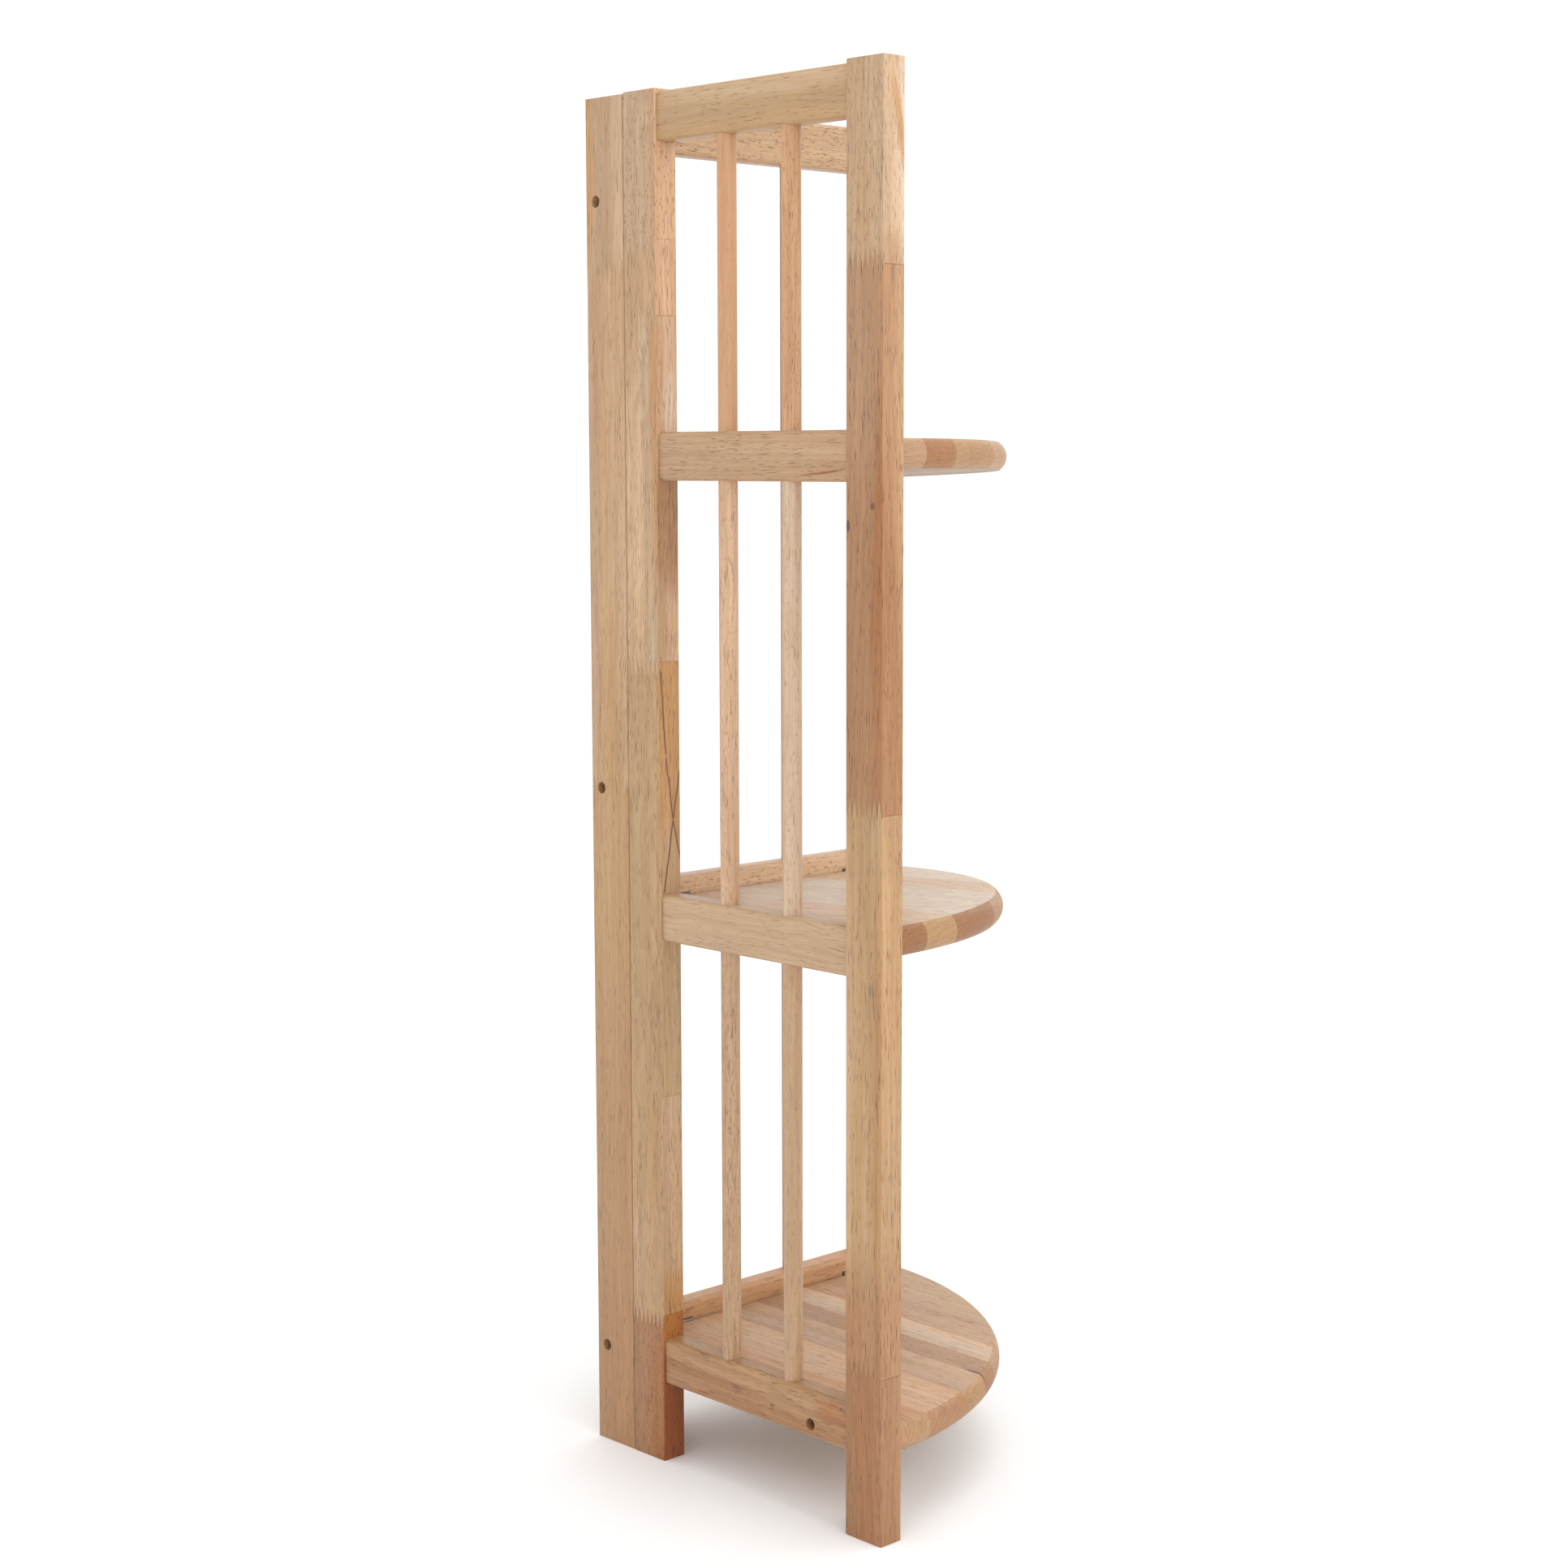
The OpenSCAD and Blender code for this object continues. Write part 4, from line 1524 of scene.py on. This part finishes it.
def post(name: str, wide: Axis, blocks: str, joints: tuple[float, ...], **more: Any) -> Rubberwood:
    """The finish of a finger-jointed post, with its blocks' tones and joints from the foot up."""
    return Rubberwood(f"{name}_wood", Axis.Z, wide, tones(blocks), joints, **more)


def rail(name: str, run: Axis, tone: Tone, seed: float, figure: float = 1.0, **more: Any) -> Rubberwood:
    """The finish of a rail that is cut from one board."""
    return Rubberwood(f"{name}_wood", run, Axis.Z, (tone,), seed=seed, figure=figure, **more)


def left_rear_post() -> Rubberwood:
    """The finish of the left rear post, dark at its foot, with two veins that cross, painted shade and
    painted light.

    Returns:
        The finish, whose veins lie on the face inside the corner.
    """
    crossing = (-0.1371, 0.4795)
    veins = (
        Vein((-0.1485, 0.5895), (-0.1437, 0.526)),
        Vein((-0.1437, 0.526), crossing),
        Vein(crossing, (-0.1305, 0.450)),
        Vein((-0.1305, 0.516), crossing),
        Vein(crossing, (-0.1463, 0.4258)),
    )
    return post(
        "left_rear_post",
        Axis.X,
        "CLAY STRAW STRAW PALE PALE PALE",
        (0.1068, 0.2711, 0.5898, 0.835, 0.888),
        narrow=tones("UMBER PALE STRAW MILK MILK MILK"),
        seed=11.3,
        veins=veins,
        stains=stains(
            ("GINGER", 0, -76, 30, 18, 90, 1.0),
            ("OCHRE", 0, -140, 104, 50, 24, 1.0, True),
            ("PALE", 1, -90, 140, 60, 60, 0.5),
            ("AMBER", 1, -140, 112, 50, 35, 0.7, True),
            ("SAND", 2, -78, 310, 12, 80, 0.8),
            ("AMBER", 2, -138, 530, 30, 150, 0.95, True),
            ("HONEY", 2, -147, 480, 8, 70, 0.8, True),
            ("CREAM", 3, -100, 720, 12, 100, 0.7),
            ("AMBER", 3, -76, 780, 7, 160, 0.7),
            ("AMBER", 5, -148, 900, 6, 100, 0.2, True),
            ("AMBER", 3, -148, 790, 6, 120, 0.4, True),
            # Painted shadow: a darker patch where the upper shelf shades the post's face inside the corner
            ("RUSSET", 3, -140, 690, 50, 55, 0.9, True),
            # Painted light: a lighter patch just above the upper shelf, where the shelf shades the post
            ("CHALK", 3, -136, 775, 9, 30, 0.6, True),
            ("BISCUIT", 3, -147, 615, 8, 40, 0.8, True),
            # Painted light: a lighter patch at the middle shelf, where the shelf shades the post
            ("PALE", 2, -142, 435, 20, 50, 0.7, True),
        ),
        flecks=0.75,
        flecked=(5, 0),
        contrast=0.7,
        glue=0.4,
    )


def left_front_post() -> Rubberwood:
    """The finish of the left front post, the nearest one, with its knots and its brown block."""
    return post(
        "left_front_post",
        Axis.X,
        "CLAY STRAW RUSSET PALE",
        (0.122, 0.508, 0.868),
        narrow=tones("FAWN BISCUIT FAWN CREAM"),
        seed=5.7,
        knots=(Knot(0.1404, 0.7079, 2.5 * MM, 1.2), Knot(0.1179, 0.6948, 2.0 * MM, 2.4, 1.0)),
        stains=stains(
            ("TAN", 2, 130, 860, 50, 160, 0.9),
            ("GINGER", 2, 147, 600, 9, 200, 0.9),
            ("CLAY", 2, 118, 570, 8, 80, 0.7),
            ("FAWN", 2, 130, 520, 40, 120, 0.7),
            ("PALE", 1, 117, 320, 8, 180, 0.8),
            ("CARAMEL", 1, 148, 300, 9, 190, 0.6),
            ("FAWN", 1, 130, 125, 50, 80, 0.9),
            ("TAN", 2, -138, 860, 40, 180, 1.0, True),
            ("BLOND", 2, -133, 800, 9, 200, 0.6, True),
            ("HONEY", 1, -145, 400, 12, 140, 0.5, True),
            ("RUSSET", 1, -140, 125, 50, 90, 0.8, True),
            ("PALE", 3, -149, 930, 6, 100, 0.8, True),
            ("TAN", 3, -140, 868, 50, 20, 0.7, True),
            ("CHALK", 3, -133, 930, 10, 80, 0.6, True),
            ("AMBER", 3, -136, 955, 4, 35, 0.7, True, -0.14),
        ),
        flecks=0.4,
        flecked=(3,),
        contrast=0.7,
    )


def left_frame() -> SideFrame:
    """The left ladder frame, as seen from the room.

    Returns:
        The frame, whose outer face is nearest to the camera.
    """
    swirls = (Knot(0.4178, -0.0431, 3.2 * MM, 1.6, 0.0), Knot(0.4150, 0.0914, 3.0 * MM, 2.6, 0.0))
    spots = (Knot(0.0722, 0.0401, 1.3 * MM, 2.0, 0.75), Knot(0.0873, 0.1095, 1.2 * MM, 2.0, 0.7))
    pale_top = stains(("CREAM", 0, 990, 30, 12, 120, 0.6))
    crack = stains(("UMBER", 0, 729.2, 92, 0.9, 23, 0.8, False, 0.09))
    pinkish = stains(
        ("CLAY", 0, 72, -30, 12, 70, 0.9),
        ("CLAY", 0, 66, 60, 9, 80, 0.8),
        ("GINGER", 0, 82, 105, 10, 25, 0.7),
    )
    run = Axis.X
    top = rail("left_top_rail", run, Tone.STRAW, 2.3, 0.4, stains=pale_top, contrast=0.5, pores=0.7)
    upper = rail("left_upper_rail", run, Tone.BLOND, 7.9, 0.8, stains=crack, contrast=0.6)
    middle = rail("left_middle_rail", run, Tone.PALE, 4.4, 0.8, knots=swirls, contrast=0.5, pores=0.6)
    bottom = rail("left_bottom_rail", run, Tone.SAND, 9.2, 1.5, knots=spots, stains=pinkish)
    woods = {
        "rear_post": left_rear_post(),
        "front_post": left_front_post(),
        "top_rail": top,
        "upper_rail": upper,
        "middle_rail": middle,
        "bottom_rail": bottom,
    }
    spindles = tones("PEACH PEACH MILK CREAM BLOND BLOND"), (0.25, 0.9, 0.9, 0.7, 0.9, 0.6)
    return SideFrame("left", run, woods, ("top_rail", "upper_rail", "middle_rail"), *spindles)


def right_frame() -> SideFrame:
    """The right ladder frame, to which the shelves are hinged.

    Returns:
        The frame.
    """
    run = Axis.Y
    woods = {
        "rear_post": post("right_rear_post", run, "TAN STRAW PALE", (0.31, 0.66), seed=21.9),
        "front_post": post("right_front_post", run, "PALE BISCUIT PINK", (0.26, 0.7), seed=31.2),
        "top_rail": rail("right_top_rail", run, Tone.PALE, 12.6, 0.5, flecks=0.9, contrast=0.6),
        "upper_rail": rail("right_upper_rail", run, Tone.BISCUIT, 14.1, flecks=0.5),
        "middle_rail": rail("right_middle_rail", run, Tone.IVORY, 17.5, 0.5, flecks=0.75, contrast=0.6),
        "bottom_rail": rail("right_bottom_rail", run, Tone.PEACH, 19.8),
    }
    spindles = tones("PINK TAN PALE PINK BISCUIT TAN"), (0.8, 0.7, 0.9, 0.6, 0.9, 0.8)
    return SideFrame("right", run, woods, ("top_rail",), *spindles)


def shelves() -> tuple[Shelf, ...]:
    """The three shelves, each glued up from its own staves.

    Returns:
        The shelves from the bottom one up.
    """
    bottom = Shelf(
        "bottom",
        41.0,
        (-0.093, -0.045, -0.007, 0.018, 0.046, 0.080),
        tones("PEACH MILK PINK TAN CREAM PINK PALE"),
        tones("BLOND TAN BISCUIT RUSSET SAND TAN SAND"),
        0.75,
        knots=(Knot(-0.0060, 0.1050, 2.0 * MM, 6.0, 0.95),),
    )
    middle = Shelf(
        "middle",
        52.0,
        (-0.099, -0.062, 0.0065, 0.046, 0.086),
        tones("CREAM IVORY CHALK CHALK IVORY CHALK"),
        tones("CLAY STRAW CLAY SAND RUSSET SAND"),
        0.3,
        open_seam=0.0065,
    )
    upper = Shelf(
        "upper",
        63.0,
        (-0.102, -0.067, -0.048, -0.004, 0.042, 0.085),
        tones("PALE PINK STRAW PALE CREAM PALE STRAW"),
        tones("BLOND RUSSET STRAW BISCUIT BLOND TAN STRAW"),
        0.4,
    )
    return bottom, middle, upper


def main() -> None:
    """Builds the studio and every sub-assembly in order."""
    logging.basicConfig(level=logging.INFO, format="%(message)s")
    frames = (CornerStrip(), left_frame(), right_frame())
    for assembly in (Studio(), *frames, *shelves(), ShelfHinges(), FoldHinges(), CornerScrews()):
        assembly.build()


if __name__ == "__main__":
    main()
